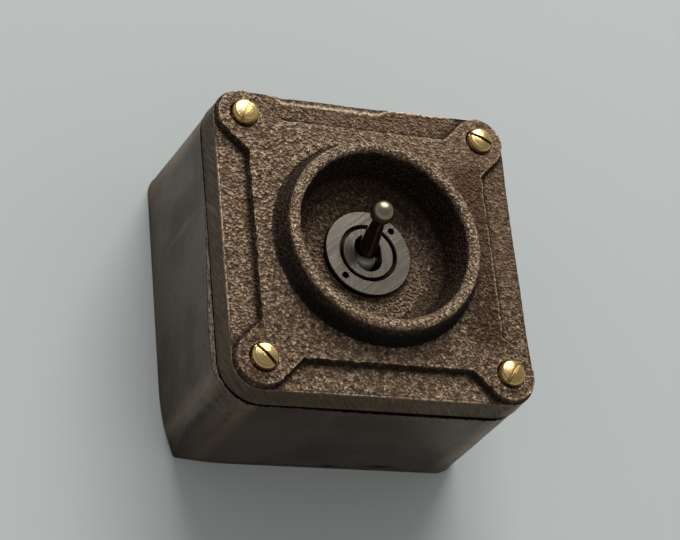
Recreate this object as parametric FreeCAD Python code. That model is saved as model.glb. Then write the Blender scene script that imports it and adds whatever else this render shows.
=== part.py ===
import FreeCAD
import Part

import math
import os

# Surface-mounted cast brass dolly switch, in millimetres. The origin is the centre of
# the wall face. +Z points out of the wall, +Y up the wall, and the dolly rests upwards.

# Cast box
plate_side = 86.0            # outside of box and lid where they meet
box_depth = 44.0             # wall face to the joint with the lid
box_lean = 0.3               # how far each side leans out towards the wall
back_corner = 7.5            # radius of the upright corners at the wall
mouth_corner = 11.0          # radius of the upright corners at the joint with the lid
box_wall = 4.0
back_wall = 4.0
joint_bevel = 0.5            # bevel round the mouth of the box
screw_inset = 9.0            # lid screw axis from the outside of the box
post_bite = 1.0              # how far a screw post reaches into the box wall
cable_diameter = 20.0        # cable entry in the back
cable_height = 19.0          # cable entry above the centre
fixing_diameter = 5.0        # wall screw holes
fixing_pitch = 60.0

# Cast lid
lid_height = 7.2             # joint to the sunk margins
lid_lean = 1.2               # how far each side leans in towards the front
lid_rim = 5.0                # width of the lid's rim on the box
lid_skin = 3.4               # metal under the margins
edge_break = 0.4             # softened upper edges of the casting
field_rise = 2.1             # raised field above the margins
margin_width = 8.2
step_lean = 0.5              # draft of the step between margin and field
lug_ledge = 0.1              # ledge left round the foot of a corner lug

# Guard ring and dish
guard_diameter = 56.6        # at the foot
guard_rise = 6.9             # crest above the field
guard_lean = 1.4             # how far the outer wall leans in towards the crest
bead_radius = 1.8            # rounded crest of the guard
guard_fillet = 0.4           # hollow where the guard meets the field
dish_depth = 7.5             # dish floor below the field
dish_lean = 1.5              # draft of the dish wall
dish_fillet = 3.5            # hollow between dish wall and floor
dish_wall = 3.0
dish_floor = 3.0

# Lid screws
screw_diameter = 4.0
screw_reach = 12.0           # thread in the box
screw_tip = 0.4              # bevel at the end of every screw
tapping_run_out = 2.0        # tapped hole past the end of the screw
head_diameter = 7.0
head_height = 4.1
head_edge = 1.0              # rounded edge between side and top
head_crown = 0.3             # rise of the top from its edge to its middle
counterbore_depth = 2.0
driver_slot_width = 0.9
driver_slot_depth = 1.4
top_left_slot = 65.0         # where each screw came to rest when it was tightened
top_right_slot = 156.0
bottom_left_slot = 134.0
bottom_right_slot = 55.0

# Switch bush, ring nut and washer
bush_diameter = 15.8
groove_depth = 1.0           # groove between disc and ring nut
groove_width = 0.7
disc_sink = 0.1              # disc below the ring nut's face
slot_bevel = 0.3
flange_thickness = 1.6
ring_diameter = 24.2
ring_thickness = 1.6
ring_edge = 0.25
ring_sleeve = 0.9            # wall of the nut's threaded sleeve
ring_sleeve_depth = 2.6
spanner_hole_diameter = 1.9
spanner_hole_depth = 1.2
spanner_angle = 44.0
washer_diameter = 23.0
washer_thickness = 0.8
washer_teeth = 12
washer_notch = 1.6           # length and width of the notch between two teeth

# Dolly
pivot_depth = 4.1            # pivot below the disc
dolly_tilt = 24.0            # each way from straight out
dolly_reach = 16.2           # pivot to the centre of the ball
ball_diameter = 6.5
neck_diameter = 3.5
stem_diameter = 6.0          # cone at the pivot
hub_diameter = 6.7           # ball that the pin passes through
tail_diameter = 5.8
tail_length = 9.5
pin_diameter = 2.0

# Plunger and spring in the dolly's tail
plunger_diameter = 3.6
plunger_reach = 12.5         # pivot to the nose of the plunger
plunger_length = 6.5
spring_room = 3.4            # length of the spring
spring_wire = 0.4
spring_turns = 4

# Rocking contact and its tips
rocker_tilt = 8.0
rocker_thickness = 1.0
rocker_width = 5.0
rocker_span = 20.4
rocker_rib = 1.8             # diameter of the rib that it rocks on
wing_rise = 1.5              # wings above the rib's axis
tip_diameter = 3.0
tip_side = 0.5
tip_crown = 0.3
tip_place = 8.4              # tips from the middle of the rocker

# Switch body and terminals
body_width = 20.0
body_corner = 2.0
body_wall = 2.6
body_height = 16.2
rivet_web = 0.9              # moulding left between a rivet and the room inside
rivet_edge = 2.6             # rivet axis from the end of the body
base_floor = 1.2
rivet_diameter = 2.2
rivet_head_diameter = 3.6
rivet_head_height = 0.6
terminal_pitch = 9.0
terminal_side = 6.6
terminal_height = 6.2
terminal_strip = 1.2         # thickness of the strips that carry the contacts
wire_diameter = 3.2
clamp_diameter = 3.0
clamp_length = 3.0
clamp_head_diameter = 5.0
clamp_head_height = 1.6
clamp_head_edge = 0.3
clamp_head_crown = 0.2
clamp_slot_width = 0.8
clamp_slot_depth = 0.7
saddle_thickness = 3.0
saddle_drop = 0.45           # top of the saddle below the rib's axis

# Earth terminal
earth_inset = 10.0           # boss in from the lower left screw post, along each side
earth_boss_diameter = 9.0
earth_boss_height = 6.0
earth_hole_depth = 5.0
earth_screw_reach = 4.0      # thread in the boss
earth_head_diameter = 7.0
earth_head_height = 2.4
earth_head_edge = 0.5
earth_head_crown = 0.3
earth_washer_diameter = 8.6
earth_washer_thickness = 0.8

# Clearances
thread_gap = 0.03            # radial, between screw and tapped hole
loose_gap = 0.25             # radial, screw in a plain hole
head_gap = 0.45              # radial, screw head in its counterbore
pin_gap = 0.02               # radial, pin in the bush
running_gap = 0.05           # radial, dolly on its pin, plunger, rocker rib
sleeve_gap = 0.15            # radial, ring nut and washer
lever_gap = 0.35             # dolly in its slot
hub_gap = 0.15               # dolly hub to the side of its slot
contact_gap = 0.1            # between closed contact tips
nose_gap = 0.25              # plunger nose above the rocker
pocket_gap = 0.2             # terminal in its pocket
rivet_gap = 0.05
seat_gap = 0.02              # spring ends

cut_over = 1.0               # how far a cutting shape passes the face it opens

plate_half = plate_side / 2
screw_place = plate_half - screw_inset
joint_z = box_depth
margin_z = joint_z + lid_height
field_z = margin_z + field_rise
crest_z = field_z + guard_rise
floor_z = field_z - dish_depth
dish_under_z = floor_z - dish_floor
ring_face_z = floor_z + ring_thickness
disc_z = ring_face_z - disc_sink
flange_top_z = dish_under_z - washer_thickness
flange_bottom_z = flange_top_z - flange_thickness
body_bottom_z = flange_bottom_z - body_height
block_top_z = body_bottom_z - base_floor
block_bottom_z = block_top_z - terminal_height
base_bottom_z = block_bottom_z - clamp_head_height - pocket_gap
pivot_z = disc_z - pivot_depth
rocker_z = pivot_z - plunger_reach - nose_gap - rocker_thickness
head_seat_z = field_z - counterbore_depth

field_half = plate_half - lid_lean - margin_width
lug_radius = screw_inset - lid_lean - step_lean - lug_ledge
guard_radius = guard_diameter / 2
guard_top = guard_radius - guard_lean
guard_bore = guard_top - 2 * bead_radius
dish_radius = guard_bore - dish_lean
bush_radius = bush_diameter / 2
ring_bore = bush_radius + thread_gap
sleeve_radius = ring_bore + ring_sleeve
pin_radius = pin_diameter / 2
plunger_radius = plunger_diameter / 2
plunger_back = plunger_reach - plunger_length
spring_seat = plunger_back - spring_room
disc_radius = bush_radius - groove_width
room_half = terminal_pitch + terminal_side / 2 + pocket_gap
rivet_place = room_half + rivet_web + rivet_gap + rivet_diameter / 2
body_half = rivet_place + rivet_edge
earth_place = earth_inset - screw_place
tilt = math.radians(dolly_tilt)

ACROSS = FreeCAD.Vector(1, 0, 0)
OUT = FreeCAD.Vector(0, 0, 1)
CENTRE = FreeCAD.Vector(0, 0, 0)


def at(x, y, z):
    """Point or direction."""
    return FreeCAD.Vector(x, y, z)


def outline(place, start, moves):
    """Closed wire from start through moves, closed by a straight run if need be.

    A move is a point, for a straight run, or a pair of points, for an arc through the
    first to the second. place turns a flat point into one in space.
    """
    edges = []
    here = start
    for move in moves:
        is_arc = isinstance(move[0], tuple)
        end = move[1] if is_arc else move
        if is_arc:
            edges.append(Part.Arc(place(*here), place(*move[0]), place(*end)).toShape())
        else:
            edges.append(Part.LineSegment(place(*here), place(*end)).toShape())
        here = end
    if here != start:
        edges.append(Part.LineSegment(place(*here), place(*start)).toShape())
    return Part.Wire(edges)


def turned(start, *moves):
    """Solid of revolution about Z from a profile of (radius, height) points."""
    profile = outline(lambda r, z: at(r, 0, z), start, moves)
    return Part.Face(profile).revolve(CENTRE, OUT, 360)


def arc_middle(radius, edge_z, rise):
    """Point halfway along the crown that rises from (radius, edge_z) to the axis."""
    ball = (radius ** 2 + rise ** 2) / (2 * rise)
    half_turn = math.asin(radius / ball) / 2
    return ball * math.sin(half_turn), edge_z + rise - ball + ball * math.cos(half_turn)


def corner_middle(radius):
    """How far the middle of a quarter arc lies from the sides of its corner."""
    return radius * (1 - math.sqrt(0.5))


def rounded(half_x, half_y, radius, z):
    """Flat wire: rectangle with rounded corners at height z."""
    x = half_x - radius
    y = half_y - radius
    bulge = radius * math.sqrt(0.5)
    moves = [
        (half_x, y),
        ((x + bulge, y + bulge), (x, half_y)),
        (-x, half_y),
        ((-x - bulge, y + bulge), (-half_x, y)),
        (-half_x, -y),
        ((-x - bulge, -y - bulge), (-x, -half_y)),
        (x, -half_y),
        ((x + bulge, -y - bulge), (half_x, -y)),
    ]
    return outline(lambda px, py: at(px, py, z), (half_x, -y), moves)


def slot_wire(half_width, half_length, z):
    """Flat wire: slot along Y with round ends at height z."""
    y = half_length - half_width
    moves = [
        (half_width, y),
        ((0, half_length), (-half_width, y)),
        (-half_width, -y),
        ((0, -half_length), (half_width, -y)),
    ]
    return outline(lambda px, py: at(px, py, z), (half_width, -y), moves)


def square_wire(half, z):
    """Flat wire of a square section with its corners centred on the lid screws."""
    return rounded(half, half, half - screw_place, z)


def mouth_wire(half, z):
    """Flat wire of a square section beside the joint of box and lid."""
    return rounded(half, half, mouth_corner + half - plate_half, z)


def field_wire(grow, z):
    """Flat wire of the raised field: straight sides, slanted ends and corner lugs."""
    half = field_half + grow
    lug = lug_radius + grow
    side = half - lug * math.sqrt(2)
    near = screw_place - lug * math.sqrt(0.5)
    far = screw_place + lug * math.sqrt(0.5)
    quarter = [(half, side), (far, near), ((far, far), (near, far)), (side, half)]
    moves = [quarter_turn(move, turn) for turn in range(4) for move in quarter]
    return outline(lambda px, py: at(px, py, z), (half, -side), moves)


def quarter_turn(move, count):
    """Move of an outline turned about the centre by a number of quarter turns."""
    if isinstance(move[0], tuple):
        return tuple(quarter_turn(point, count) for point in move)
    x, y = move
    for _ in range(count):
        x, y = -y, x
    return x, y


def prism(wire, height):
    """Solid of a flat wire pulled along Z."""
    return Part.Face(wire).extrude(at(0, 0, height))


def loft(*wires):
    """Straight-sided solid through flat wires."""
    return Part.makeLoft(list(wires), True, True)


def post(radius, low, high, x=0.0, y=0.0):
    """Upright cylinder between two heights."""
    return Part.makeCylinder(radius, high - low, at(x, y, low), OUT)


def rod(radius, half_length, y, z):
    """Cylinder along X about the middle."""
    return Part.makeCylinder(radius, 2 * half_length, at(-half_length, y, z), ACROSS)


def block(half_x, low_y, high_y, low_z, high_z):
    """Box that is symmetrical in X."""
    return Part.makeBox(2 * half_x, high_y - low_y, high_z - low_z, at(-half_x, low_y, low_z))


def moved(shape, x, y, z):
    """Copy of a shape moved along the axes."""
    copy = shape.copy()
    copy.translate(at(x, y, z))
    return copy


def turned_by(shape, angle, pivot, axis):
    """Copy of a shape turned about an axis."""
    copy = shape.copy()
    copy.rotate(pivot, axis, angle)
    return copy


def screw_corners():
    """Places of the lid screws, with the angle of each driver slot."""
    return [
        (-screw_place, screw_place, top_left_slot),
        (screw_place, screw_place, top_right_slot),
        (-screw_place, -screw_place, bottom_left_slot),
        (screw_place, -screw_place, bottom_right_slot),
    ]


def slotted_screw(radius, tip_z, seat_z, head_radius, height, edge, crown, slot_width, slot_depth):
    """Upright screw: bevelled end, plain shank, cheese head with a rounded edge, driver slot."""
    top_z = seat_z + height
    rim_z = top_z - crown
    rim_radius = head_radius - edge
    round_off = corner_middle(edge)
    screw = turned(
        (0, tip_z),
        (radius - screw_tip, tip_z),
        (radius, tip_z + screw_tip),
        (radius, seat_z),
        (head_radius, seat_z),
        (head_radius, rim_z - edge),
        ((head_radius - round_off, rim_z - round_off), (rim_radius, rim_z)),
        (arc_middle(rim_radius, rim_z, crown), (0, top_z)),
    )
    half = head_radius + cut_over
    slot = Part.makeBox(2 * half, slot_width, slot_depth + cut_over)
    slot.translate(at(-half, -slot_width / 2, top_z - slot_depth))
    return screw.cut(slot)


def back_box():
    """Cast box: leaning sides, screw posts, cable entry, wall holes and earth boss."""
    back_half = plate_half + box_lean
    shell = loft(
        rounded(back_half, back_half, back_corner, 0),
        mouth_wire(plate_half, joint_z - joint_bevel),
        mouth_wire(plate_half - joint_bevel, joint_z),
    )
    inside = plate_half - box_wall
    hollow = prism(square_wire(inside, back_wall), joint_z - back_wall + cut_over)
    post_radius = screw_inset - box_wall + post_bite
    for x, y, _ in screw_corners():
        hollow = hollow.cut(post(post_radius, back_wall, joint_z + cut_over, x, y))
    box = shell.cut(hollow)
    boss_top = back_wall + earth_boss_height
    box = box.fuse(post(earth_boss_diameter / 2, back_wall / 2, boss_top, earth_place, earth_place))
    thread = screw_diameter / 2 + thread_gap
    for x, y, _ in screw_corners():
        box = box.cut(post(thread, joint_z - screw_reach - tapping_run_out, joint_z + cut_over, x, y))
    box = box.cut(post(thread, boss_top - earth_hole_depth, boss_top + cut_over, earth_place, earth_place))
    box = box.cut(post(cable_diameter / 2, -cut_over, back_wall + cut_over, 0, cable_height))
    for side in (-1, 1):
        x = side * fixing_pitch / 2
        box = box.cut(post(fixing_diameter / 2, -cut_over, back_wall + cut_over, x, 0))
    return box.removeSplitter()


def guard_bowl():
    """Dish, its wall and the rounded guard bead, turned as one form."""
    bowl_radius = dish_radius + dish_wall
    bead_z = crest_z - bead_radius
    root_z = field_z - field_rise
    under = corner_middle(dish_fillet)
    foot = corner_middle(guard_fillet)
    return turned(
        (0, dish_under_z),
        (bowl_radius - dish_fillet, dish_under_z),
        ((bowl_radius - under, dish_under_z + under), (bowl_radius, dish_under_z + dish_fillet)),
        (bowl_radius, root_z),
        (guard_radius + guard_fillet, root_z),
        (guard_radius + guard_fillet, field_z),
        ((guard_radius + foot, field_z + foot), (guard_radius, field_z + guard_fillet)),
        (guard_top, bead_z),
        ((guard_top - bead_radius, crest_z), (guard_bore, bead_z)),
        (dish_radius, floor_z + dish_fillet),
        ((dish_radius - under, floor_z + under), (dish_radius - dish_fillet, floor_z)),
        (0, floor_z),
    )


def face_plate():
    """Cast lid: leaning rim, raised field with corner lugs, guard ring and dish."""
    margin_half = plate_half - lid_lean
    plate = loft(
        mouth_wire(plate_half - joint_bevel, joint_z),
        mouth_wire(plate_half, joint_z + joint_bevel),
        square_wire(margin_half, margin_z - edge_break),
        square_wire(margin_half - edge_break, margin_z),
    )
    field = loft(
        field_wire(step_lean, margin_z - edge_break),
        field_wire(0, field_z - edge_break),
        field_wire(-edge_break, field_z),
    )
    pocket = prism(square_wire(plate_half - lid_rim, joint_z - cut_over), lid_height - lid_skin + cut_over)
    for x, y, _ in screw_corners():
        pocket = pocket.cut(post(lug_radius, joint_z - 2 * cut_over, margin_z, x, y))
    lid = plate.fuse(field).cut(pocket)
    lid = lid.cut(post(dish_radius + dish_wall / 2, joint_z - cut_over, field_z + cut_over))
    lid = lid.fuse(guard_bowl())
    for x, y, _ in screw_corners():
        lid = lid.cut(post(screw_diameter / 2 + loose_gap, joint_z - cut_over, field_z, x, y))
        lid = lid.cut(post(head_diameter / 2 + head_gap, head_seat_z, field_z + cut_over, x, y))
    lid = lid.cut(post(sleeve_radius + sleeve_gap, dish_under_z - cut_over, floor_z + cut_over))
    return lid.removeSplitter()


def lid_screws():
    """Cheese-head screws that hold the lid, each turned as it was left."""
    screw = slotted_screw(
        screw_diameter / 2, joint_z - screw_reach, head_seat_z, head_diameter / 2,
        head_height, head_edge, head_crown, driver_slot_width, driver_slot_depth,
    )
    return Part.makeCompound([
        moved(turned_by(screw, angle, CENTRE, OUT), x, y, 0) for x, y, angle in screw_corners()
    ])


def ring_nut():
    """Face nut: flange on the dish floor, threaded sleeve, two spanner holes."""
    radius = ring_diameter / 2
    nut = turned(
        (ring_bore, floor_z - ring_sleeve_depth),
        (sleeve_radius, floor_z - ring_sleeve_depth),
        (sleeve_radius, floor_z),
        (radius, floor_z),
        (radius, ring_face_z - ring_edge),
        (radius - ring_edge, ring_face_z),
        (ring_bore + ring_edge, ring_face_z),
        (ring_bore, ring_face_z - ring_edge),
    )
    middle = (radius + ring_bore) / 2
    for turn in (spanner_angle, spanner_angle + 180):
        x = middle * math.cos(math.radians(turn))
        y = middle * math.sin(math.radians(turn))
        low = ring_face_z - spanner_hole_depth
        nut = nut.cut(post(spanner_hole_diameter / 2, low, ring_face_z + cut_over, x, y))
    return nut


def lock_washer():
    """Washer with teeth round its bore, between lid and bush flange."""
    bore = bush_radius + sleeve_gap
    washer = post(washer_diameter / 2, flange_top_z, dish_under_z)
    washer = washer.cut(post(bore, flange_top_z - cut_over, dish_under_z + cut_over))
    reach = bore + washer_notch
    notch = block(washer_notch / 2, 0, reach, flange_top_z - cut_over, dish_under_z + cut_over)
    for tooth in range(washer_teeth):
        washer = washer.cut(turned_by(notch, tooth * 360 / washer_teeth, CENTRE, OUT))
    return washer


def stem_radius(distance):
    """Radius of the dolly's cone at a distance from the pivot."""
    slope = (stem_diameter - neck_diameter) / 2 / neck_distance()
    return stem_diameter / 2 - slope * distance


def neck_distance():
    """Distance from the pivot to where the cone runs into the ball."""
    return dolly_reach - math.sqrt((ball_diameter ** 2 - neck_diameter ** 2) / 4)


def lever_slot():
    """Half width and half length of the slot that the dolly swings in."""
    front = pivot_depth * math.tan(tilt) + stem_radius(pivot_depth) / math.cos(tilt)
    rear = (pivot_z - flange_bottom_z) * math.tan(tilt) + tail_diameter / 2 / math.cos(tilt)
    half_length = max(front, rear, hub_diameter / 2) + lever_gap
    return hub_diameter / 2 + hub_gap, half_length


def switch_bush():
    """Threaded bush with its flange, slotted for the dolly and drilled for its pin."""
    groove_z = disc_z - groove_depth
    bush = turned(
        (0, flange_bottom_z),
        (bush_radius, flange_bottom_z),
        (bush_radius, groove_z),
        (disc_radius, groove_z),
        (disc_radius, disc_z - ring_edge),
        (disc_radius - ring_edge, disc_z),
        (0, disc_z),
    )
    flange = prism(rounded(body_width / 2, body_half, body_corner, flange_bottom_z), flange_thickness)
    bush = bush.fuse(flange)
    half_width, half_length = lever_slot()
    bush = bush.cut(prism(slot_wire(half_width, half_length, flange_bottom_z - cut_over),
                          disc_z - flange_bottom_z + 2 * cut_over))
    lip = loft(
        slot_wire(half_width, half_length, disc_z - slot_bevel),
        slot_wire(half_width + 2 * slot_bevel, half_length + 2 * slot_bevel, disc_z + slot_bevel),
    )
    bush = bush.cut(lip)
    bush = bush.cut(rod(pin_radius + pin_gap, bush_diameter, 0, pivot_z))
    for hole in rivet_holes(flange_bottom_z, flange_top_z):
        bush = bush.cut(hole)
    return bush.removeSplitter()


def pivot_pin():
    """Pin that the dolly turns on, kept in by the ring nut's sleeve."""
    return rod(pin_radius, bush_radius - sleeve_gap, 0, pivot_z)


def tipped(shape):
    """Part of the lever, made upright on its pivot, put where the dolly rests."""
    upright = turned_by(shape, -dolly_tilt, CENTRE, ACROSS)
    return moved(upright, 0, 0, pivot_z)


def dolly():
    """Turned lever: ball, cone stem, round hub and hollow tail."""
    ball = ball_diameter / 2
    tail = tail_diameter / 2
    lever = turned(
        (0, -tail_length),
        (tail, -tail_length),
        (tail, 0),
        (stem_diameter / 2, 0),
        (neck_diameter / 2, neck_distance()),
        ((ball, dolly_reach), (0, dolly_reach + ball)),
    )
    lever = lever.fuse(Part.makeSphere(hub_diameter / 2)).removeSplitter()
    lever = lever.cut(post(plunger_radius + running_gap, -tail_length - cut_over, -spring_seat))
    lever = lever.cut(rod(pin_radius + running_gap, hub_diameter, 0, 0))
    return tipped(lever)


def plunger():
    """Round-nosed plunger that slides in the dolly's tail."""
    nose = corner_middle(plunger_radius)
    return tipped(turned(
        (0, -plunger_reach),
        ((plunger_radius - nose, nose - plunger_reach), (plunger_radius, plunger_radius - plunger_reach)),
        (plunger_radius, -plunger_back),
        (0, -plunger_back),
    ))


def toggle_spring():
    """Coil spring between the plunger and the end of its bore, in tangent half turns."""
    wire = spring_wire / 2
    coil = plunger_radius - spring_wire
    height = spring_room - spring_wire - 2 * seat_gap
    rise = height / (2 * spring_turns)
    reach = math.hypot(coil, rise / 2)
    edges = []
    for half_turn in range(2 * spring_turns):
        side = 1 - 2 * (half_turn % 2)
        low = half_turn * rise
        start = at(side * coil, 0, low)
        middle = at(0, side * reach, low + rise / 2)
        end = at(-side * coil, 0, low + rise)
        edges.append(Part.Arc(start, middle, end).toShape())
    section = Part.Wire(Part.Circle(at(coil, 0, 0), at(0, 1, 0), wire).toShape())
    spring = Part.Wire(edges).makePipeShell([section], True, True)
    return tipped(moved(spring, 0, 0, wire + seat_gap - plunger_back))


def nose_arc():
    """Radius and centre height, over the rocker's axis, of the plunger's path on the rocker."""
    centre = plunger_reach - plunger_radius
    pivot_height = pivot_z - rocker_z
    middle_z = pivot_height - centre
    end_y = centre * math.sin(tilt)
    end_z = pivot_height - centre * math.cos(tilt)
    lean = math.radians(rocker_tilt)
    path_y = end_y * math.cos(lean) - end_z * math.sin(lean)
    path_z = end_y * math.sin(lean) + end_z * math.cos(lean)
    rise = path_z - middle_z
    radius = (path_y ** 2 + rise ** 2) / (2 * rise)
    return radius, middle_z + radius


def rocked(shape):
    """Part of the rocker, made level on its axis, put where it rests."""
    level = turned_by(shape, rocker_tilt, CENTRE, ACROSS)
    return moved(level, 0, 0, rocker_z)


def rocker_contact():
    """Pressed bridge with a cradle for the plunger, level wings and a rib to rock on."""
    path_radius, centre_z = nose_arc()
    upper = path_radius + plunger_radius + nose_gap
    lower = upper + rocker_thickness
    wing_top = wing_rise + rocker_thickness
    upper_y = math.sqrt(upper ** 2 - (centre_z - wing_top) ** 2)
    lower_y = math.sqrt(lower ** 2 - (centre_z - wing_rise) ** 2)
    half = rocker_span / 2
    profile = outline(
        lambda y, z: at(-rocker_width / 2, y, z),
        (-half, wing_top),
        [
            (-upper_y, wing_top),
            ((0, centre_z - upper), (upper_y, wing_top)),
            (half, wing_top),
            (half, wing_rise),
            (lower_y, wing_rise),
            ((0, centre_z - lower), (-lower_y, wing_rise)),
            (-half, wing_rise),
        ],
    )
    bridge = Part.Face(profile).extrude(at(rocker_width, 0, 0))
    bridge = bridge.fuse(rod(rocker_rib / 2, rocker_width / 2, 0, 0))
    return rocked(bridge.removeSplitter())


def contact_tip():
    """Crowned contact tip, standing on the origin."""
    radius = tip_diameter / 2
    return turned(
        (0, 0),
        (radius, 0),
        (radius, tip_side),
        (arc_middle(radius, tip_side, tip_crown), (0, tip_side + tip_crown)),
    )


def moving_contacts():
    """Tips under the two wings of the rocker."""
    hanging = turned_by(contact_tip(), 180, CENTRE, ACROSS)
    return rocked(Part.makeCompound([moved(hanging, 0, side * tip_place, wing_rise) for side in (-1, 1)]))


def fixed_tip_z():
    """Height of the fixed tips' crowns, just under a closed moving tip."""
    lean = math.radians(rocker_tilt)
    crown = wing_rise - tip_side - tip_crown
    return rocker_z - tip_place * math.sin(lean) + crown * math.cos(lean) - contact_gap


def fixed_contacts():
    """Tips on the two line terminals."""
    seat = fixed_tip_z() - tip_side - tip_crown
    return Part.makeCompound([moved(contact_tip(), 0, side * tip_place, seat) for side in (-1, 1)])


def terminal_block(y):
    """Brass block with a wire hole across it and a tapped hole from behind."""
    half = terminal_side / 2
    middle_z = (block_top_z + block_bottom_z) / 2
    body = block(half, y - half, y + half, block_bottom_z, block_top_z)
    body = body.cut(rod(wire_diameter / 2, terminal_side, y, middle_z))
    return body.cut(post(clamp_diameter / 2 + thread_gap, block_bottom_z - cut_over, middle_z, 0, y))


def common_terminal():
    """Middle terminal with the saddle that the rocker's rib lies in."""
    half = saddle_thickness / 2
    saddle = block(rocker_width / 2, -half, half, block_top_z - base_floor, rocker_z - saddle_drop)
    terminal = terminal_block(0).fuse(saddle)
    return terminal.cut(rod(rocker_rib / 2 + running_gap, rocker_width, 0, rocker_z)).removeSplitter()


def line_terminal(side):
    """Outer terminal with a strip that bends in under its contact tip."""
    pad_top = fixed_tip_z() - tip_side - tip_crown
    leg_y = tip_place + tip_diameter / 2
    pad_y = tip_place - tip_diameter / 2
    half = tip_diameter / 2
    leg = block(half, leg_y, leg_y + terminal_strip, block_top_z - base_floor, pad_top)
    pad = block(half, pad_y, leg_y + terminal_strip, pad_top - terminal_strip, pad_top)
    terminal = terminal_block(terminal_pitch).fuse(leg).fuse(pad).removeSplitter()
    return turned_by(terminal, 0 if side > 0 else 180, CENTRE, OUT)


def terminal_screws():
    """Clamp screws of the three terminals, heads to the back."""
    screw = slotted_screw(
        clamp_diameter / 2, -clamp_length, 0, clamp_head_diameter / 2, clamp_head_height,
        clamp_head_edge, clamp_head_crown, clamp_slot_width, clamp_slot_depth,
    )
    hanging = moved(turned_by(screw, 180, CENTRE, ACROSS), 0, 0, block_bottom_z)
    return Part.makeCompound([moved(hanging, 0, step * terminal_pitch, 0) for step in (-1, 0, 1)])


def rivet_holes(low, high):
    """Shapes that cut the two rivet holes."""
    radius = rivet_diameter / 2 + rivet_gap
    return [post(radius, low - cut_over, high + cut_over, 0, side * rivet_place) for side in (-1, 1)]


def switch_body():
    """Moulded body round the mechanism, open at both ends."""
    half = body_width / 2
    body = prism(rounded(half, body_half, body_corner, body_bottom_z), body_height)
    room = rounded(half - body_wall, room_half, body_corner, body_bottom_z - cut_over)
    body = body.cut(prism(room, body_height + 2 * cut_over))
    for hole in rivet_holes(body_bottom_z, flange_bottom_z):
        body = body.cut(hole)
    return body


def terminal_base():
    """Moulded base with a pocket, a strip slot and a wire hole for each terminal."""
    height = body_bottom_z - base_bottom_z
    base = prism(rounded(body_width / 2, body_half, body_corner, base_bottom_z), height)
    half = terminal_side / 2 + pocket_gap
    middle_z = (block_top_z + block_bottom_z) / 2
    wire = wire_diameter / 2 + pocket_gap
    for step in (-1, 0, 1):
        y = step * terminal_pitch
        base = base.cut(block(half, y - half, y + half, base_bottom_z - cut_over, block_top_z))
        base = base.cut(Part.makeCylinder(wire, body_width, at(-body_width, y, middle_z), ACROSS))
    strip_half = tip_diameter / 2 + pocket_gap
    leg_y = tip_place + tip_diameter / 2 - pocket_gap
    leg_end = leg_y + terminal_strip + 2 * pocket_gap
    leg_slot = block(strip_half, leg_y, leg_end, block_top_z - cut_over, body_bottom_z + cut_over)
    saddle_half = saddle_thickness / 2 + pocket_gap
    saddle_slot = block(rocker_width / 2 + pocket_gap, -saddle_half, saddle_half,
                        block_top_z - cut_over, body_bottom_z + cut_over)
    base = base.cut(saddle_slot)
    for angle in (0, 180):
        base = base.cut(turned_by(leg_slot, angle, CENTRE, OUT))
    for hole in rivet_holes(base_bottom_z, body_bottom_z):
        base = base.cut(hole)
    return base.removeSplitter()


def bush_rivets():
    """Rivets through the bush flange, the body and the base."""
    radius = rivet_diameter / 2
    head = rivet_head_diameter / 2
    low = base_bottom_z - rivet_head_height
    high = flange_top_z + rivet_head_height
    rivet = turned(
        (0, low),
        (arc_middle_below(head, base_bottom_z, rivet_head_height), (head, base_bottom_z)),
        (radius, base_bottom_z),
        (radius, flange_top_z),
        (head, flange_top_z),
        (arc_middle(head, flange_top_z, rivet_head_height), (0, high)),
    )
    return Part.makeCompound([moved(rivet, 0, side * rivet_place, 0) for side in (-1, 1)])


def arc_middle_below(radius, edge_z, drop):
    """Point halfway along the crown that hangs from (radius, edge_z) to the axis."""
    r, z = arc_middle(radius, edge_z, drop)
    return r, 2 * edge_z - z


def earth_washer():
    """Flat washer on the earth boss."""
    low = back_wall + earth_boss_height
    high = low + earth_washer_thickness
    washer = post(earth_washer_diameter / 2, low, high, earth_place, earth_place)
    bore = screw_diameter / 2 + loose_gap
    return washer.cut(post(bore, low - cut_over, high + cut_over, earth_place, earth_place))


def earth_screw():
    """Slotted screw of the earth terminal."""
    boss_top = back_wall + earth_boss_height
    seat = boss_top + earth_washer_thickness
    screw = slotted_screw(
        screw_diameter / 2, boss_top - earth_screw_reach, seat, earth_head_diameter / 2, earth_head_height,
        earth_head_edge, earth_head_crown, driver_slot_width, driver_slot_depth,
    )
    return moved(screw, earth_place, earth_place, 0)


def main():
    """Build every piece and write it to its own file."""
    os.makedirs("parts", exist_ok=True)
    pieces = {
        "back_box": back_box(),
        "face_plate": face_plate(),
        "lid_screws": lid_screws(),
        "ring_nut": ring_nut(),
        "lock_washer": lock_washer(),
        "switch_bush": switch_bush(),
        "pivot_pin": pivot_pin(),
        "dolly": dolly(),
        "plunger": plunger(),
        "toggle_spring": toggle_spring(),
        "rocker_contact": rocker_contact(),
        "moving_contacts": moving_contacts(),
        "fixed_contacts": fixed_contacts(),
        "common_terminal": common_terminal(),
        "upper_terminal": line_terminal(1),
        "lower_terminal": line_terminal(-1),
        "terminal_screws": terminal_screws(),
        "switch_body": switch_body(),
        "terminal_base": terminal_base(),
        "bush_rivets": bush_rivets(),
        "earth_washer": earth_washer(),
        "earth_screw": earth_screw(),
    }
    for name, shape in pieces.items():
        print(name, len(shape.Solids), round(shape.Volume, 2), shape.isValid())
        shape.exportStep(f"parts/{name}.step")


main()
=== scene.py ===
"""Cast brass dolly switch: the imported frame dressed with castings, turned brass and studio."""
import logging
import math
from collections.abc import Sequence
from dataclasses import dataclass
from enum import Enum
from typing import Any

import bmesh
import bpy
import numpy as np
from mathutils import Matrix, Vector
from mathutils.geometry import delaunay_2d_cdt
from mathutils.kdtree import KDTree


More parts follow.
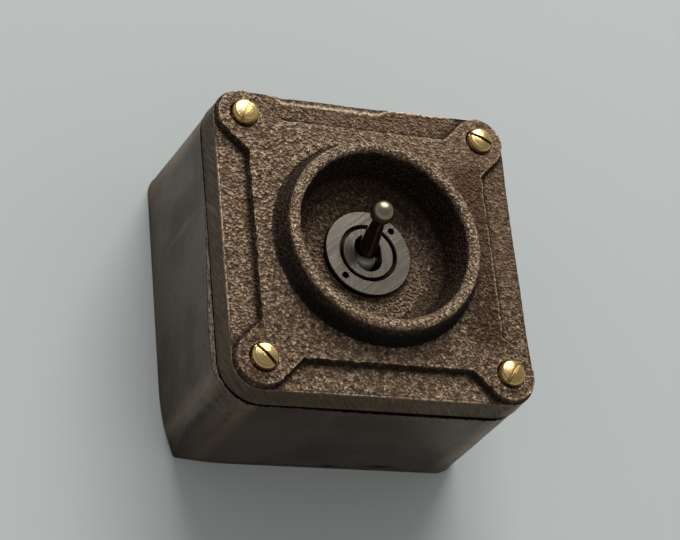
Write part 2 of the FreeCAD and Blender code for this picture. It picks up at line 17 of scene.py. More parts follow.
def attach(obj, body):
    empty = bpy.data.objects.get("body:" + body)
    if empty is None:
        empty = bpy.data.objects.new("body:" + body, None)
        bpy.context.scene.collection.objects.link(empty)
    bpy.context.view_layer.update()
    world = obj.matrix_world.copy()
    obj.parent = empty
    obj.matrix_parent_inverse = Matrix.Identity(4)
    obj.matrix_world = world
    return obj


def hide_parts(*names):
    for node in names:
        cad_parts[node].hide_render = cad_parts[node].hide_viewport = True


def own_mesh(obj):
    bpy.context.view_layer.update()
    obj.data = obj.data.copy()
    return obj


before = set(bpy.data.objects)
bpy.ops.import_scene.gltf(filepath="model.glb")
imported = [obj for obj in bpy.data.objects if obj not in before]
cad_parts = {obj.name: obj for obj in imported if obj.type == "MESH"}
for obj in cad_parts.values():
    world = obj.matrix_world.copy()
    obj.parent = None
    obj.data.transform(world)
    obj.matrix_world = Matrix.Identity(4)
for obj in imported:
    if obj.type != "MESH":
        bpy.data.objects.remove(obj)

LOG = logging.getLogger("dolly_switch")
MM = 0.001
Array = np.ndarray
Colour = tuple[float, float, float]
Material = bpy.types.Material
Mesh = bpy.types.Mesh
Object = bpy.types.Object
Node = bpy.types.Node
Pair = tuple[float, float]
Socket = bpy.types.NodeSocket
Loops = tuple[Array, Array]

# Near-black painted shade, laid by the gap marks in joints and in strips where shade falls.
UNLIT: Colour = (0.004, 0.003, 0.003)
STEEL: tuple[Colour, Colour, float, float] = ((0.52, 0.52, 0.51), (0.3, 0.3, 0.29), 0.4, 0.3)


class Body(Enum):
    """Bodies of the frame that pieces ride on."""

    HOUSING = "housing"
    DOLLY = "dolly"


class Slot(Enum):
    """Names of the record's material slots; the new pieces build their own finishes and don't use
    them.
    """

    BOX = "box_casting"
    LID = "lid_casting"
    DOLLY = "dolly_brass"
    SCREW = "screw_brass"
    STEEL = "steel"


class Brushing(Enum):
    """Way that the lines of a brushed face run, as a turn about Z in degrees."""

    UPRIGHT = 90.0
    SLANTED = 38.0


class Zone(Enum):
    """Parts of a casting's surface, each finished in its own way."""

    HIDDEN = 0
    BOWL = 1
    FIELD = 2
    STEP = 3
    MARGIN = 4
    SIDE = 5


# Meshes


class Skin:
    """Closed surface made of loops, bands between loops and flat regions, in millimetres.

    The strewn points of a region are shaken by a share of their pitch, and they keep another
    share of it clear of the region's loops.
    """

    shake = 0.16
    clear = 0.6

    def __init__(self, seed: int = 7) -> None:
        """Starts empty, with its own fixed random numbers.

        Args:
            seed: start of the random numbers.
        """
        self.points: list[Array] = []
        self.faces: list[list[int]] = []
        self.zones: list[Array] = []
        self.zone = Zone.HIDDEN
        self.size = 0
        self.random = np.random.default_rng(seed)

    def add(self, xyz: Array) -> Array:
        """Adds points.

        Args:
            xyz: points, one in each row.

        Returns:
            The numbers that the points got.
        """
        self.points.append(np.asarray(xyz, dtype=float))
        self.zones.append(np.full(len(xyz), self.zone.value))
        self.size += len(xyz)
        return np.arange(self.size - len(xyz), self.size)

    def in_zone(self, zone: Zone) -> Array:
        """Tells which points were added in a zone."""
        return np.concatenate(self.zones) == zone.value

    def bands(self, rows: Sequence[tuple[Array, Any]]) -> Loops:
        """Adds loops joined one to the next by quads.

        Args:
            rows: flat loops of as many points, each with its height or one for each point.

        Returns:
            The numbers of the first and of the last loop.
        """
        loops = [self.add(np.column_stack([flat, np.full(len(flat), z)])) for flat, z in rows]
        for low, high in zip(loops, loops[1:]):
            quads = np.column_stack([low, np.roll(low, -1), np.roll(high, -1), high])
            self.faces.extend(quads.tolist())
        return loops[0], loops[-1]

    def turned(self, rows: Sequence[Pair], count: int, x: float = 0.0, y: float = 0.0) -> Loops:
        """Adds bands between rings about an upright axis, from the radius and height of each."""
        return self.bands([(circle(radius, count, x, y), z) for radius, z in rows])

    def cap(self, ring: Array, x: float, y: float, z: float) -> None:
        """Closes a loop by a fan to one point."""
        middle = int(self.add(np.array([[x, y, z]]))[0])
        self.faces.extend([int(a), int(b), middle] for a, b in zip(ring, np.roll(ring, -1)))

    def region(self, loops: Sequence[Array], pitch: float) -> None:
        """Fills the flat space between loops of one height with even triangles.

        Args:
            loops: numbers of the outer loop and of the loops round holes.
            pitch: distance between the points that are strewn inside.
        """
        every = np.vstack(self.points)
        rims = np.concatenate(loops)
        flat = every[rims][:, :2]
        edges: list[tuple[int, int]] = []
        for loop in loops:
            start, count = len(edges), len(loop)
            edges += [(start + i, start + (i + 1) % count) for i in range(count)]
        inner = self.strewn(flat, edges, pitch)
        height = np.full((len(inner), 1), every[rims[0], 2])
        numbers = np.concatenate([rims, self.add(np.hstack([inner, height]))])
        coords = np.vstack([flat, inner])
        found = delaunay_2d_cdt([Vector(point) for point in coords], edges, [], 0, 1e-7)
        triangles = np.array([origin[0] for origin in found[3]])[np.array(found[2])]
        kept = triangles[within(coords[triangles].mean(axis=1), flat, edges)]
        self.faces.extend(numbers[kept].tolist())

    def strewn(self, flat: Array, edges: Sequence[tuple[int, int]], pitch: float) -> Array:
        """Points on a shaken triangular grid inside a region, clear of its loops.

        Args:
            flat: points of all loops.
            edges: pairs of numbers into flat.
            pitch: distance between neighbours.

        Returns:
            The points, one in each row.
        """
        low, high = flat.min(axis=0), flat.max(axis=0)
        rows = np.arange(low[1], high[1], pitch * math.sqrt(0.75))
        x, y = np.meshgrid(np.arange(low[0], high[0], pitch), rows)
        x = x + (np.arange(len(rows)) % 2)[:, None] * pitch / 2
        grid = np.column_stack([x.ravel(), y.ravel()])
        grid = grid + self.random.uniform(-self.shake, self.shake, grid.shape) * pitch
        tree = KDTree(len(flat))
        for number, point in enumerate(flat):
            tree.insert((*point, 0.0), number)
        tree.balance()
        apart = np.array([tree.find((*point, 0.0))[2] for point in grid])
        grid = grid[apart > self.clear * pitch]
        return grid[within(grid, flat, edges)]

    def mesh(self, name: str, place: Matrix | None = None) -> Mesh:
        """Makes the Blender mesh, in metres, with its faces outwards.

        Args:
            name: name of the mesh.
            place: where the skin goes, in millimetres.

        Returns:
            The mesh.
        """
        turn = np.array(place or Matrix.Identity(4))
        xyz = np.vstack(self.points) @ turn[:3, :3].T + turn[:3, 3]
        mesh = bpy.data.meshes.new(name)
        mesh.from_pydata(xyz * MM, [], self.faces)
        work = bmesh.new()
        work.from_mesh(mesh)
        bmesh.ops.recalc_face_normals(work, faces=work.faces)
        work.to_mesh(mesh)
        work.free()
        return mesh


def within(points: Array, flat: Array, edges: Sequence[tuple[int, int]]) -> Array:
    """Tells which points lie in a region with holes, by counting crossings.

    Args:
        points: points to test.
        flat: points of the region's loops.
        edges: pairs of numbers into flat.

    Returns:
        True for each point that lies inside.
    """
    inside = np.zeros(len(points), dtype=bool)
    px, py = points[:, 0], points[:, 1]
    for first, second in edges:
        (ax, ay), (bx, by) = flat[first], flat[second]
        if ay != by:
            crosses = (ay > py) != (by > py)
            inside ^= crosses & (px < ax + (py - ay) * (bx - ax) / (by - ay))
    return inside


def circle(radius: float, count: int, x: float = 0.0, y: float = 0.0) -> Array:
    """Points round a circle."""
    turn = np.arange(count) * (2 * math.pi / count)
    return np.column_stack([x + radius * np.cos(turn), y + radius * np.sin(turn)])


def arc(x: float, y: float, radius: float, start: float, end: float, count: int) -> Array:
    """Points along an arc between two angles in degrees, without its last point."""
    turn = np.radians(np.linspace(start, end, count, endpoint=False))
    return np.column_stack([x + radius * np.cos(turn), y + radius * np.sin(turn)])


def run(start: Pair, end: Pair, count: int) -> Array:
    """Points along a straight run, without its last point."""
    share = np.linspace(0.0, 1.0, count, endpoint=False)[:, None]
    return np.asarray(start) * (1 - share) + np.asarray(end) * share


def quarter_turns(flat: Array, turns: int) -> Array:
    """Points turned about the centre by a number of quarter turns."""
    return flat @ np.linalg.matrix_power(np.array([[0.0, 1.0], [-1.0, 0.0]]), turns)


def four_times(quarter: Array) -> Array:
    """Quarter of an outline repeated by quarter turns about the centre."""
    return np.vstack([quarter_turns(quarter, turns) for turns in range(4)])


def corners_of(place: float) -> list[Pair]:
    """Corners of a square about the centre, column by column."""
    return [(x, y) for x in (-place, place) for y in (-place, place)]


def soft(value: Array, low: float, high: float) -> Array:
    """Soft change from 0 at low to 1 at high."""
    share = np.clip((value - low) / (high - low), 0.0, 1.0)
    return share * share * (3 - 2 * share)


def bell(value: Array, middle: float, width: float) -> Array:
    """Soft hump of height 1."""
    return np.exp(-((value - middle) / width) ** 2)


def ripple(x: Array, y: Array, pitch: float) -> Array:
    """Uneven, smooth waves over a plane.

    Args:
        x: places across.
        y: places along.
        pitch: length of the longest wave.

    Returns:
        Heights between -1 and 1.
    """
    k = 2 * math.pi / pitch
    waves = np.sin(k * x + 1.3) + np.sin(1.37 * k * y + 0.4)
    waves = waves + 0.7 * np.sin(k * (0.9 * x - 1.2 * y) + 2.6)
    return (waves + 0.5 * np.sin(k * (1.9 * x + 0.6 * y) + 5.1)) / 3.2


def inward(flat: Array) -> Array:
    """Directions to the inside at the points of an outline that runs anticlockwise."""
    across = quarter_turns(np.roll(flat, -1, axis=0) - np.roll(flat, 1, axis=0), 1)
    return across / np.linalg.norm(across, axis=1)[:, None]


def rows_to(start: Pair, end: Pair, step: float) -> list[Pair]:
    """Profile points after start along a straight run, up to and with its end."""
    count = max(1, round(math.dist(start, end) / step))
    return [tuple(a + (b - a) * i / count for a, b in zip(start, end)) for i in range(1, count + 1)]


def rows_round(centre: Pair, radius: float, start: float, end: float, step: float) -> list[Pair]:
    """Profile points after the start of an arc, up to and with its end.

    Args:
        centre: centre of the arc.
        radius: its radius.
        start: first angle in degrees.
        end: last angle in degrees.
        step: distance between points.

    Returns:
        The points.
    """
    count = max(2, round(abs(math.radians(end - start)) * radius / step))
    turns = [math.radians(start + (end - start) * i / count) for i in range(1, count + 1)]
    return [(centre[0] + radius * math.cos(t), centre[1] + radius * math.sin(t)) for t in turns]


def square_outline(half: float, corners: Sequence[float], straight: int, count: int) -> Array:
    """Square with rounded corners.

    Args:
        half: half its side.
        corners: radius of the corners from the upper right one on, anticlockwise.
        straight: points along each side.
        count: points round each corner.

    Returns:
        The points, anticlockwise.
    """
    sides = []
    for number, corner in enumerate(corners):
        end = half - corner
        side = run((half, corners[number - 1] - half), (half, end), straight)
        sides.append(quarter_turns(np.vstack([side, arc(end, end, corner, 0, 90, count)]), number))
    return np.vstack(sides)


def bitten_outline(half: float, place: float, bite: float) -> Array:
    """Square with a round bite at each corner, where a screw post stands.

    Args:
        half: half its side.
        place: centre of the bites, across and up.
        bite: their radius.

    Returns:
        The points, anticlockwise.
    """
    end = place - math.sqrt(bite ** 2 - (half - place) ** 2)
    start = math.degrees(math.atan2(end - place, half - place))
    bitten = arc(place, place, bite, start, -270 - start, 16)
    return four_times(np.vstack([run((half, -end), (half, end), 24), bitten]))


def put_values(mesh: Mesh, values: dict[str, Array]) -> None:
    """Stores numbers at each point of a mesh, under their names."""
    for name, value in values.items():
        layer = mesh.attributes.new(name, "FLOAT", "POINT")
        layer.data.foreach_set("value", np.asarray(value, dtype=np.float32))


def points_of(mesh: Mesh) -> Array:
    """Points of a mesh in millimetres.

    Args:
        mesh: mesh in metres.

    Returns:
        One row each for x, y and z.
    """
    flat = np.empty(len(mesh.vertices) * 3, dtype=np.float32)
    mesh.vertices.foreach_get("co", flat)
    return flat.reshape(-1, 3).astype(float).T / MM


def shown(name: str, data: Any) -> Object:
    """Puts a mesh, light or camera into the scene, at the origin.

    Args:
        name: name of the object.
        data: what it shows.

    Returns:
        The object.
    """
    piece = bpy.data.objects.new(name, data)
    bpy.context.scene.collection.objects.link(piece)
    return piece


def smooth(mesh: Mesh, angle: float) -> None:
    """Shades a mesh smooth but for edges sharper than an angle in degrees."""
    mesh.shade_smooth()
    mesh.set_sharp_from_angle(angle=math.radians(angle))


def settle(piece: Object) -> None:
    """Keeps what the modifiers make of a piece as its plain mesh, and takes them off.

    Args:
        piece: object to work on.
    """
    graph = bpy.context.evaluated_depsgraph_get()
    old = piece.data
    plain = bpy.data.meshes.new_from_object(
        piece.evaluated_get(graph), preserve_all_data_layers=True, depsgraph=graph)
    piece.modifiers.clear()
    piece.data = plain
    plain.name = old.name
    bpy.data.meshes.remove(old)


# Node trees


class Graph:
    """Adds nodes to a tree and wires them."""

    def __init__(self, tree: bpy.types.NodeTree) -> None:
        """Works on one tree."""
        self.tree = tree

    def feed(self, node: Node, inputs: dict[Any, Any]) -> None:
        """Sets inputs of a node.

        Args:
            node: node to feed.
            inputs: for each input, by name or place, a constant or the output that feeds it.
        """
        for place, value in inputs.items():
            socket = node.inputs[place]
            if isinstance(value, Socket):
                self.tree.links.new(value, socket)
            else:
                socket.default_value = (*value, 1.0) if socket.type == "RGBA" else value

    def node(self, kind: str, inputs: dict[Any, Any] | None = None, **settings: Any) -> Node:
        """Adds a node.

        Args:
            kind: type of the node.
            inputs: what feeds its inputs.
            settings: properties of the node.

        Returns:
            The node.
        """
        node = self.tree.nodes.new(kind)
        for name, value in settings.items():
            setattr(node, name, value)
        self.feed(node, inputs or {})
        return node

    def math(self, operation: str, *values: Any) -> Socket:
        """Output of a math node."""
        return self.node("ShaderNodeMath", dict(enumerate(values)), operation=operation).outputs[0]

    def times(self, first: Any, second: Any) -> Socket:
        """Product of two numbers."""
        return self.math("MULTIPLY", first, second)

    def plus(self, first: Any, second: Any) -> Socket:
        """Sum of two numbers."""
        return self.math("ADD", first, second)

    def less(self, first: Any, second: Any) -> Socket:
        """Difference of two numbers."""
        return self.math("SUBTRACT", first, second)

    def over(self, first: Any, second: Any) -> Socket:
        """Quotient of two numbers."""
        return self.math("DIVIDE", first, second)

    def vectors(self, operation: str, first: Any, second: Any) -> Any:
        """Outputs of a vector math node."""
        inputs = {0: first, "Scale" if operation == "SCALE" else 1: second}
        return self.node("ShaderNodeVectorMath", inputs, operation=operation).outputs

    def ramp(
        self, value: Any, low: float, high: float, start: float = 0.0, end: float = 1.0,
    ) -> Socket:
        """Output of a clamped, soft change from the range low to high to start to end."""
        inputs = dict(enumerate((value, low, high, start, end)))
        return self.node("ShaderNodeMapRange", inputs, interpolation_type="SMOOTHSTEP").outputs[0]

    def mix(self, share: Any, first: Any, second: Any, blend: str = "MIX") -> Socket:
        """Output of a colour mix."""
        inputs = {0: share, 6: first, 7: second}
        return self.node("ShaderNodeMix", inputs, data_type="RGBA", blend_type=blend).outputs[2]

    def layers(self, tone: Any, *layers: tuple[Any, Any]) -> Any:
        """Lays colours over one another.

        Args:
            tone: lowest colour.
            layers: share and colour of each layer.

        Returns:
            The colour that shows.
        """
        for share, colour in layers:
            tone = self.mix(share, tone, colour)
        return tone

    def between(self, share: Any, first: Any, second: Any) -> Socket:
        """Number between two others."""
        inputs = {0: share, 2: first, 3: second}
        return self.node("ShaderNodeMix", inputs, data_type="FLOAT").outputs[0]

    def noise(
        self, vector: Any, scale: Any, detail: float, rough: float, offset: Any = 0.0,
    ) -> Socket:
        """Output of a noise texture, told apart from others by an offset."""
        inputs = {
            "Vector": vector, "W": offset, "Scale": scale, "Detail": detail, "Roughness": rough,
        }
        return self.node("ShaderNodeTexNoise", inputs, noise_dimensions="4D").outputs[0]


def new_group(
    name: str, kind: str, inputs: dict[str, float | str], outputs: Sequence[str],
    made: str = "NodeSocketFloat",
) -> tuple[Graph, Any, Node]:
    """Starts a node group.

    Args:
        name: name of the group.
        kind: type of the tree.
        inputs: for each named input, its first number, or the type of its socket if it has none.
        outputs: names of the outputs.
        made: type of the outputs.

    Returns:
        The graph, the values given to the group, and its output node.
    """
    tree = bpy.data.node_groups.new(name, kind)
    for title, first in inputs.items():
        named = isinstance(first, str)
        socket = tree.interface.new_socket(
            title, in_out="INPUT", socket_type=first if named else "NodeSocketFloat")
        if not named:
            socket.default_value = first
    for title in outputs:
        tree.interface.new_socket(title, in_out="OUTPUT", socket_type=made)
    graph = Graph(tree)
    return graph, graph.node("NodeGroupInput").outputs, graph.node("NodeGroupOutput")


class PieceTree:
    """Geometry tree with named inputs that makes a piece and gives it its material."""

    title = ""
    inputs: dict[str, float] = {}

    def __init__(self) -> None:
        """Builds the tree once."""
        graph, given, made = new_group(
            self.title, "GeometryNodeTree",
            {"Geometry": "NodeSocketGeometry", **self.inputs, "Material": "NodeSocketMaterial"},
            ["Geometry"], "NodeSocketGeometry")
        self.tree = graph.tree
        real = graph.node("GeometryNodeRealizeInstances", {0: self.draw(graph, given)}).outputs[0]
        dressed = {"Geometry": real, "Material": given["Material"]}
        graph.feed(made, {0: graph.node("GeometryNodeSetMaterial", dressed).outputs[0]})

    def draw(self, graph: Graph, given: Any) -> Socket:
        """Draws the tree between its inputs and its material.

        Args:
            graph: graph of the tree.
            given: values given to the tree.

        Returns:
            The geometry.
        """
        raise NotImplementedError

    def bake(self, piece: Object, finish: "Finish", values: dict[str, float]) -> None:
        """Runs the tree on a piece and keeps the plain mesh.

        Args:
            piece: object to work on.
            finish: what the piece is made of.
            values: for each named input, its number.
        """
        wanted = {**values, "Material": finish.material()}
        modifier = piece.modifiers.new("tree", "NODES")
        modifier.node_group = self.tree
        for socket in self.tree.interface.items_tree:
            if socket.item_type == "SOCKET" and socket.in_out == "INPUT" and socket.name in wanted:
                modifier[socket.identifier] = wanted[socket.name]
        settle(piece)


class CastSkin(PieceTree):
    """Gives a smooth casting its sand grain, pits and waviness, in metres."""

    title = "Cast skin"
    inputs = {
        "Grain Size": 0.0009, "Grain Height": 0.0001, "Pit Size": 0.0016, "Pit Depth": 0.0001,
        "Wave Size": 0.02, "Wave Height": 0.0001, "Seed": 1.0,
    }
    ridge_unit = 0.0001

    def draw(self, graph: Graph, given: Any) -> Socket:
        """Moves the surface along its normals, and stores its relief and its ridges.

        Args:
            graph: graph of the tree.
            given: values given to the tree.

        Returns:
            The geometry.
        """
        place = graph.node("GeometryNodeInputPosition").outputs[0]
        normal = graph.node("GeometryNodeInputNormal").outputs[0]
        named = "GeometryNodeInputNamedAttribute"
        skin, rough = (
            graph.node(named, {"Name": name}, data_type="FLOAT").outputs[0]
            for name in ("skin", "rough"))
        seed = given["Seed"]
        grain, pit, wave = (
            graph.noise(place, graph.over(1.0, given[size]), detail, fall, graph.plus(seed, offset))
            for size, detail, fall, offset in (
                ("Grain Size", 3.0, 0.6, 0.0), ("Pit Size", 1.0, 0.5, 7.0),
                ("Wave Size", 1.0, 0.4, 3.0)))
        grain = graph.ramp(grain, 0.28, 0.72)
        pit = graph.ramp(pit, 0.6, 0.74)
        lift = graph.times(graph.less(grain, 0.75), given["Grain Height"])
        local = graph.times(graph.less(lift, graph.times(pit, given["Pit Depth"])), rough)
        broad = graph.times(graph.less(wave, 0.85), given["Wave Height"])
        kept = self.stored(graph, given["Geometry"], "relief", graph.less(grain, pit))
        shift = graph.vectors("SCALE", normal, graph.times(graph.plus(local, broad), skin))[0]
        moved = graph.node(
            "GeometryNodeSetPosition", {"Geometry": kept, "Offset": shift}).outputs[0]
        near = graph.node("GeometryNodeBlurAttribute", {"Iterations": 9}, data_type="FLOAT_VECTOR")
        value, blurred = (
            next(socket for socket in sockets if socket.enabled and socket.type == "VECTOR")
            for sockets in (near.inputs, near.outputs))
        graph.tree.links.new(place, value)
        away = graph.vectors("SUBTRACT", place, blurred)[0]
        ridge = graph.vectors("DOT_PRODUCT", away, normal)["Value"]
        return self.stored(graph, moved, "ridge", graph.over(ridge, self.ridge_unit))

    @staticmethod
    def stored(graph: Graph, shape: Socket, name: str, value: Socket) -> Socket:
        """Geometry with a number stored at each point under a name."""
        inputs = {"Geometry": shape, "Name": name, "Value": value}
        return graph.node(
            "GeometryNodeStoreNamedAttribute", inputs, data_type="FLOAT", domain="POINT").outputs[0]


class ScrewSet(PieceTree):
    """Sets one screw in the four corners of a square, each at its own turn."""

    title = "Screw set"
    corners = ("Bottom Left", "Top Left", "Bottom Right", "Top Right")
    inputs = {"Spacing": 0.06, **dict.fromkeys(corners, 0.0)}

    def draw(self, graph: Graph, given: Any) -> Socket:
        """Places the screw on a grid of two by two points.

        Args:
            graph: graph of the tree.
            given: values given to the tree.

        Returns:
            The geometry.
        """
        side = given["Spacing"]
        size = {"Size X": side, "Size Y": side, "Vertices X": 2, "Vertices Y": 2}
        grid = graph.node("GeometryNodeMeshGrid", size).outputs["Mesh"]
        turn = graph.node("GeometryNodeIndexSwitch", data_type="FLOAT")
        for _ in range(2):
            turn.index_switch_items.new()
        which = graph.node("GeometryNodeInputIndex").outputs[0]
        graph.feed(turn, dict(enumerate([which, *(given[corner] for corner in self.corners)])))
        angles = graph.node("ShaderNodeCombineXYZ", {2: turn.outputs[0]}).outputs[0]
        placed = {"Points": grid, "Instance": given["Geometry"], "Rotation": angles}
        return graph.node("GeometryNodeInstanceOnPoints", placed).outputs[0]


class WireCoil(PieceTree):
    """Winds a wire into a coil spring."""

    title = "Wire coil"
    inputs = {"Coil": 0.002, "Wire": 0.0002, "Rise": 0.003, "Turns": 4.0}

    def draw(self, graph: Graph, given: Any) -> Socket:
        """Carries a round section along a spiral.

        Args:
            graph: graph of the tree.
            given: values given to the tree.

        Returns:
            The geometry.
        """
        line = graph.node("GeometryNodeCurveSpiral", {
            "Resolution": 36, "Rotations": given["Turns"], "Start Radius": given["Coil"],
            "End Radius": given["Coil"], "Height": given["Rise"], "Reverse": True,
        }).outputs[0]
        ring = {"Resolution": 14, "Radius": given["Wire"]}
        section = graph.node("GeometryNodeCurvePrimitiveCircle", ring).outputs[0]
        swept = {"Curve": line, "Profile Curve": section, "Fill Caps": True}
        return graph.node("GeometryNodeCurveToMesh", swept).outputs[0]


# Finishes


class Effects:
    """Shader groups that several finishes share."""

    def __init__(self) -> None:
        """Builds each group once."""
        self.grain = self.cast_grain()
        self.lines = self.brushed_lines()
        self.wear = self.edge_wear()

    @staticmethod
    def cast_grain() -> bpy.types.NodeTree:
        """Sand grain of a casting: leathery height, its creases, specks and broad mottling.

        Returns:
            The group.
        """
        graph, given, made = new_group(
            "Cast grain", "ShaderNodeTree",
            {"Vector": "NodeSocketVector", "Grain": 1000.0, "Mottle": 70.0},
            ("Height", "Creases", "Specks", "Mottle"))
        vector, grain = given["Vector"], given["Grain"]
        swirl, grit, lumps, specks = (
            graph.noise(vector, graph.times(grain, share), detail, rough, offset)
            for share, detail, rough, offset in (
                (0.9, 1.0, 0.5, 1.5), (1.5, 2.0, 0.5, 0.0), (1.32, 2.0, 0.45, 0.8),
                (0.8, 2.0, 0.6, 9.0)))
        bent = graph.vectors("ADD", vector, graph.over(swirl, grain))[0]
        cells = graph.node(
            "ShaderNodeTexVoronoi", {"Vector": bent, "Scale": grain}, feature="DISTANCE_TO_EDGE")
        bumps = graph.ramp(cells.outputs["Distance"], 0.0, 0.2)
        grit = graph.ramp(grit, 0.25, 0.75)
        lumps = graph.ramp(lumps, 0.34, 0.66)
        height = graph.plus(graph.times(bumps, 0.12), graph.times(grit, 0.1))
        raised = graph.times(graph.ramp(lumps, 0.0, 0.45), graph.ramp(bumps, 0.0, 1.0, 0.7, 1.0))
        graph.feed(made, {
            "Height": graph.plus(height, graph.times(lumps, 0.78)),
            "Creases": graph.less(1.0, raised),
            "Specks": graph.ramp(specks, 0.6, 0.7),
            "Mottle": graph.ramp(graph.noise(vector, given["Mottle"], 3.0, 0.6, 2.0), 0.3, 0.7),
        })
        return graph.tree

    @staticmethod
    def brushed_lines() -> bpy.types.NodeTree:
        """Lines left by a brush or belt: even fine lines and a few deeper scratches.

        Returns:
            The group.
        """
        graph, given, made = new_group(
            "Brushed lines", "ShaderNodeTree",
            {
                "Vector": "NodeSocketVector", "Turn": "NodeSocketVector",
                "Fine": 4000.0, "Length": 30.0,
            },
            ("Lines", "Scratches"))
        turn = {"Vector": given["Vector"], "Rotation": given["Turn"]}
        turned = graph.node("ShaderNodeVectorRotate", turn, rotation_type="EULER_XYZ").outputs[0]
        x, y, z = graph.node("ShaderNodeSeparateXYZ", {0: turned}).outputs
        drawn = {0: graph.over(x, given["Length"]), 1: y, 2: graph.over(z, given["Length"])}
        along = graph.node("ShaderNodeCombineXYZ", drawn).outputs[0]
        sparse = graph.noise(along, graph.times(given["Fine"], 0.35), 1.0, 0.5, 4.0)
        graph.feed(made, {
            "Lines": graph.noise(along, given["Fine"], 3.0, 0.6),
            "Scratches": graph.ramp(sparse, 0.63, 0.72),
        })
        return graph.tree

    @staticmethod
    def edge_wear() -> bpy.types.NodeTree:
        """Rubbed edges, and hollows darkened by dirt and painted shade, from how far the surface
        stands out.

        Returns:
            The group.
        """
        graph, given, made = new_group(
            "Edge wear", "ShaderNodeTree",
            {"Ridge": 0.0, "Vector": "NodeSocketVector", "Break": 400.0}, ("Rubbed", "Hollow"))
        ragged = graph.noise(given["Vector"], given["Break"], 3.0, 0.6, 6.0)
        shaken = graph.plus(given["Ridge"], graph.less(ragged, 0.5))
        graph.feed(made, {
            "Rubbed": graph.ramp(shaken, 0.15, 1.1),
            "Hollow": graph.ramp(given["Ridge"], -0.9, 0.0, 1.0, 0.0),
        })
        return graph.tree


class Paint(Graph):
    """Graph of a new material, with its Object coordinates and the shared effects."""

    def __init__(self, name: str, effects: Effects) -> None:
        """Starts the material.

        Args:
            name: name of the material.
            effects: groups that it may draw on.
        """
        self.material = bpy.data.materials.new(name)
        self.material.use_nodes = True
        super().__init__(self.material.node_tree)
        self.effects = effects
        self.where = self.node("ShaderNodeTexCoord").outputs["Object"]

    def at(self, name: str) -> Socket:
        """Number stored at the surface."""
        return self.node("ShaderNodeAttribute", attribute_name=name).outputs["Fac"]

    def group(self, tree: bpy.types.NodeTree, **inputs: Any) -> Any:
        """Outputs of a shared effect."""
        inputs["Vector"] = self.where
        return self.node("ShaderNodeGroup", inputs, node_tree=tree).outputs

    def grain(self, size: float, mottle: float) -> Any:
        """Outputs of the sand grain."""
        return self.group(self.effects.grain, Grain=size, Mottle=mottle)

    def lines(self, turn: Colour, fine: float, length: float) -> Any:
        """Outputs of the brushed lines."""
        return self.group(self.effects.lines, Turn=turn, Fine=fine, Length=length)

    def wear(self, ragged: float) -> Any:
        """Outputs of the edge wear."""
        return self.group(self.effects.wear, Ridge=self.at("ridge"), Break=ragged)

    def done(self, height: Any, depth: float, inputs: dict[str, Any]) -> Material:
        """Feeds the shader.

        Args:
            height: height of the finest relief.
            depth: how deep a height of 1 is, in metres.
            inputs: what feeds the shader's other inputs.

        Returns:
            The material.
        """
        bump = self.node("ShaderNodeBump", {"Strength": 1.0, "Distance": depth, "Height": height})
        self.feed(self.tree.nodes["Principled BSDF"], {**inputs, "Normal": bump.outputs[0]})
        return self.material


@dataclass(frozen=True)
class Finish:
    """What every finish shares: its name and the effects that it draws on."""

    name: str
    effects: Effects

    def material(self) -> Material:
        """Builds the material."""
        raise NotImplementedError


@dataclass(frozen=True)
class CastBrass(Finish):
    """Browned sand-cast brass: leathery face, hollows darkened by patina, dirt and painted shade,
    and linished sides.
    """

    pit: Colour = (0.050, 0.032, 0.020)
    body: Colour = (0.425, 0.290, 0.186)
    high: Colour = (0.86, 0.67, 0.46)
    blush: Colour = (0.40, 0.34, 0.31)
    # The two darkest tones: laid where patina and painted shade darken the casting.
    deep_shade: Colour = (0.010, 0.008, 0.006)
    patina_and_shade: Colour = (0.053, 0.031, 0.021)
    side_low: Colour = (0.055, 0.040, 0.025)
    side: Colour = (0.114, 0.079, 0.046)
    stain: Colour = (0.66, 0.60, 0.56)

    def material(self) -> Material:
        """Builds the material.

        Returns:
            The material.
        """
        paint = Paint(self.name, self.effects)
        grain, wear = paint.grain(1050.0, 45.0), paint.wear(700.0)
        lines = paint.lines((-0.709, 0.0, 0.8), 2800.0, 12.0)
        drawn, linished, gap = lines["Lines"], paint.at("linished"), paint.at("gap")
        lumps = paint.times(paint.at("relief"), 0.12)
        relief = paint.plus(paint.times(grain["Height"], 0.9), lumps)
        contrast = paint.ramp(paint.at("calm"), 0.0, 1.0, 0.62, 0.2)
        uneven = paint.times(wear["Rubbed"], paint.ramp(relief, 0.35, 0.75, 0.0, 0.35))
        # The face's top layer lays rubbed wear, and a painted highlight with wear along the field's
        # and the chip's edges.
        face = paint.layers(
            self.body, (paint.times(paint.ramp(relief, 0.5, 0.9), contrast), self.high),
            (paint.times(grain["Creases"], contrast), self.pit),
            (paint.math("MAXIMUM", uneven, paint.at("worn_edge_and_highlight")), self.high))
        face = paint.mix(paint.at("blush"), face, self.blush, "MULTIPLY")
        # Patina and painted shade, darkest in the relief's creases.
        shade = paint.mix(paint.ramp(relief, 0.3, 0.9), self.deep_shade, self.patina_and_shade)
        flank = paint.mix(paint.ramp(drawn, 0.3, 0.7), self.side_low, self.side)
        flank = paint.mix(paint.times(lines["Scratches"], 0.08), flank, self.high)
        tone = paint.layers(
            face, (paint.at("patina_and_shade"), shade), (linished, flank),
            # Hollows darkened, dirt and painted shade together.
            (paint.times(wear["Hollow"], 0.6), self.pit))
        tone = paint.mix(paint.times(grain["Mottle"], 0.25), tone, self.stain, "MULTIPLY")
        dull = paint.ramp(relief, 0.2, 1.0, 0.66, 0.48)
        keen = paint.ramp(drawn, 0.3, 0.7, 0.5, 0.36)
        fine = paint.times(grain["Height"], paint.at("coarse"))
        grooves = paint.times(paint.times(drawn, linished), 0.021)
        return paint.done(paint.plus(fine, grooves), 0.0029, {
            # The gap mark lays near-black painted shade over the colour.
            "Base Color": paint.mix(gap, tone, UNLIT),
            "Metallic": paint.times(paint.between(linished, 0.55, 1.0), paint.less(1.0, gap)),
            "Specular IOR Level": 0.15, "Roughness": paint.between(linished, dull, keen),
        })


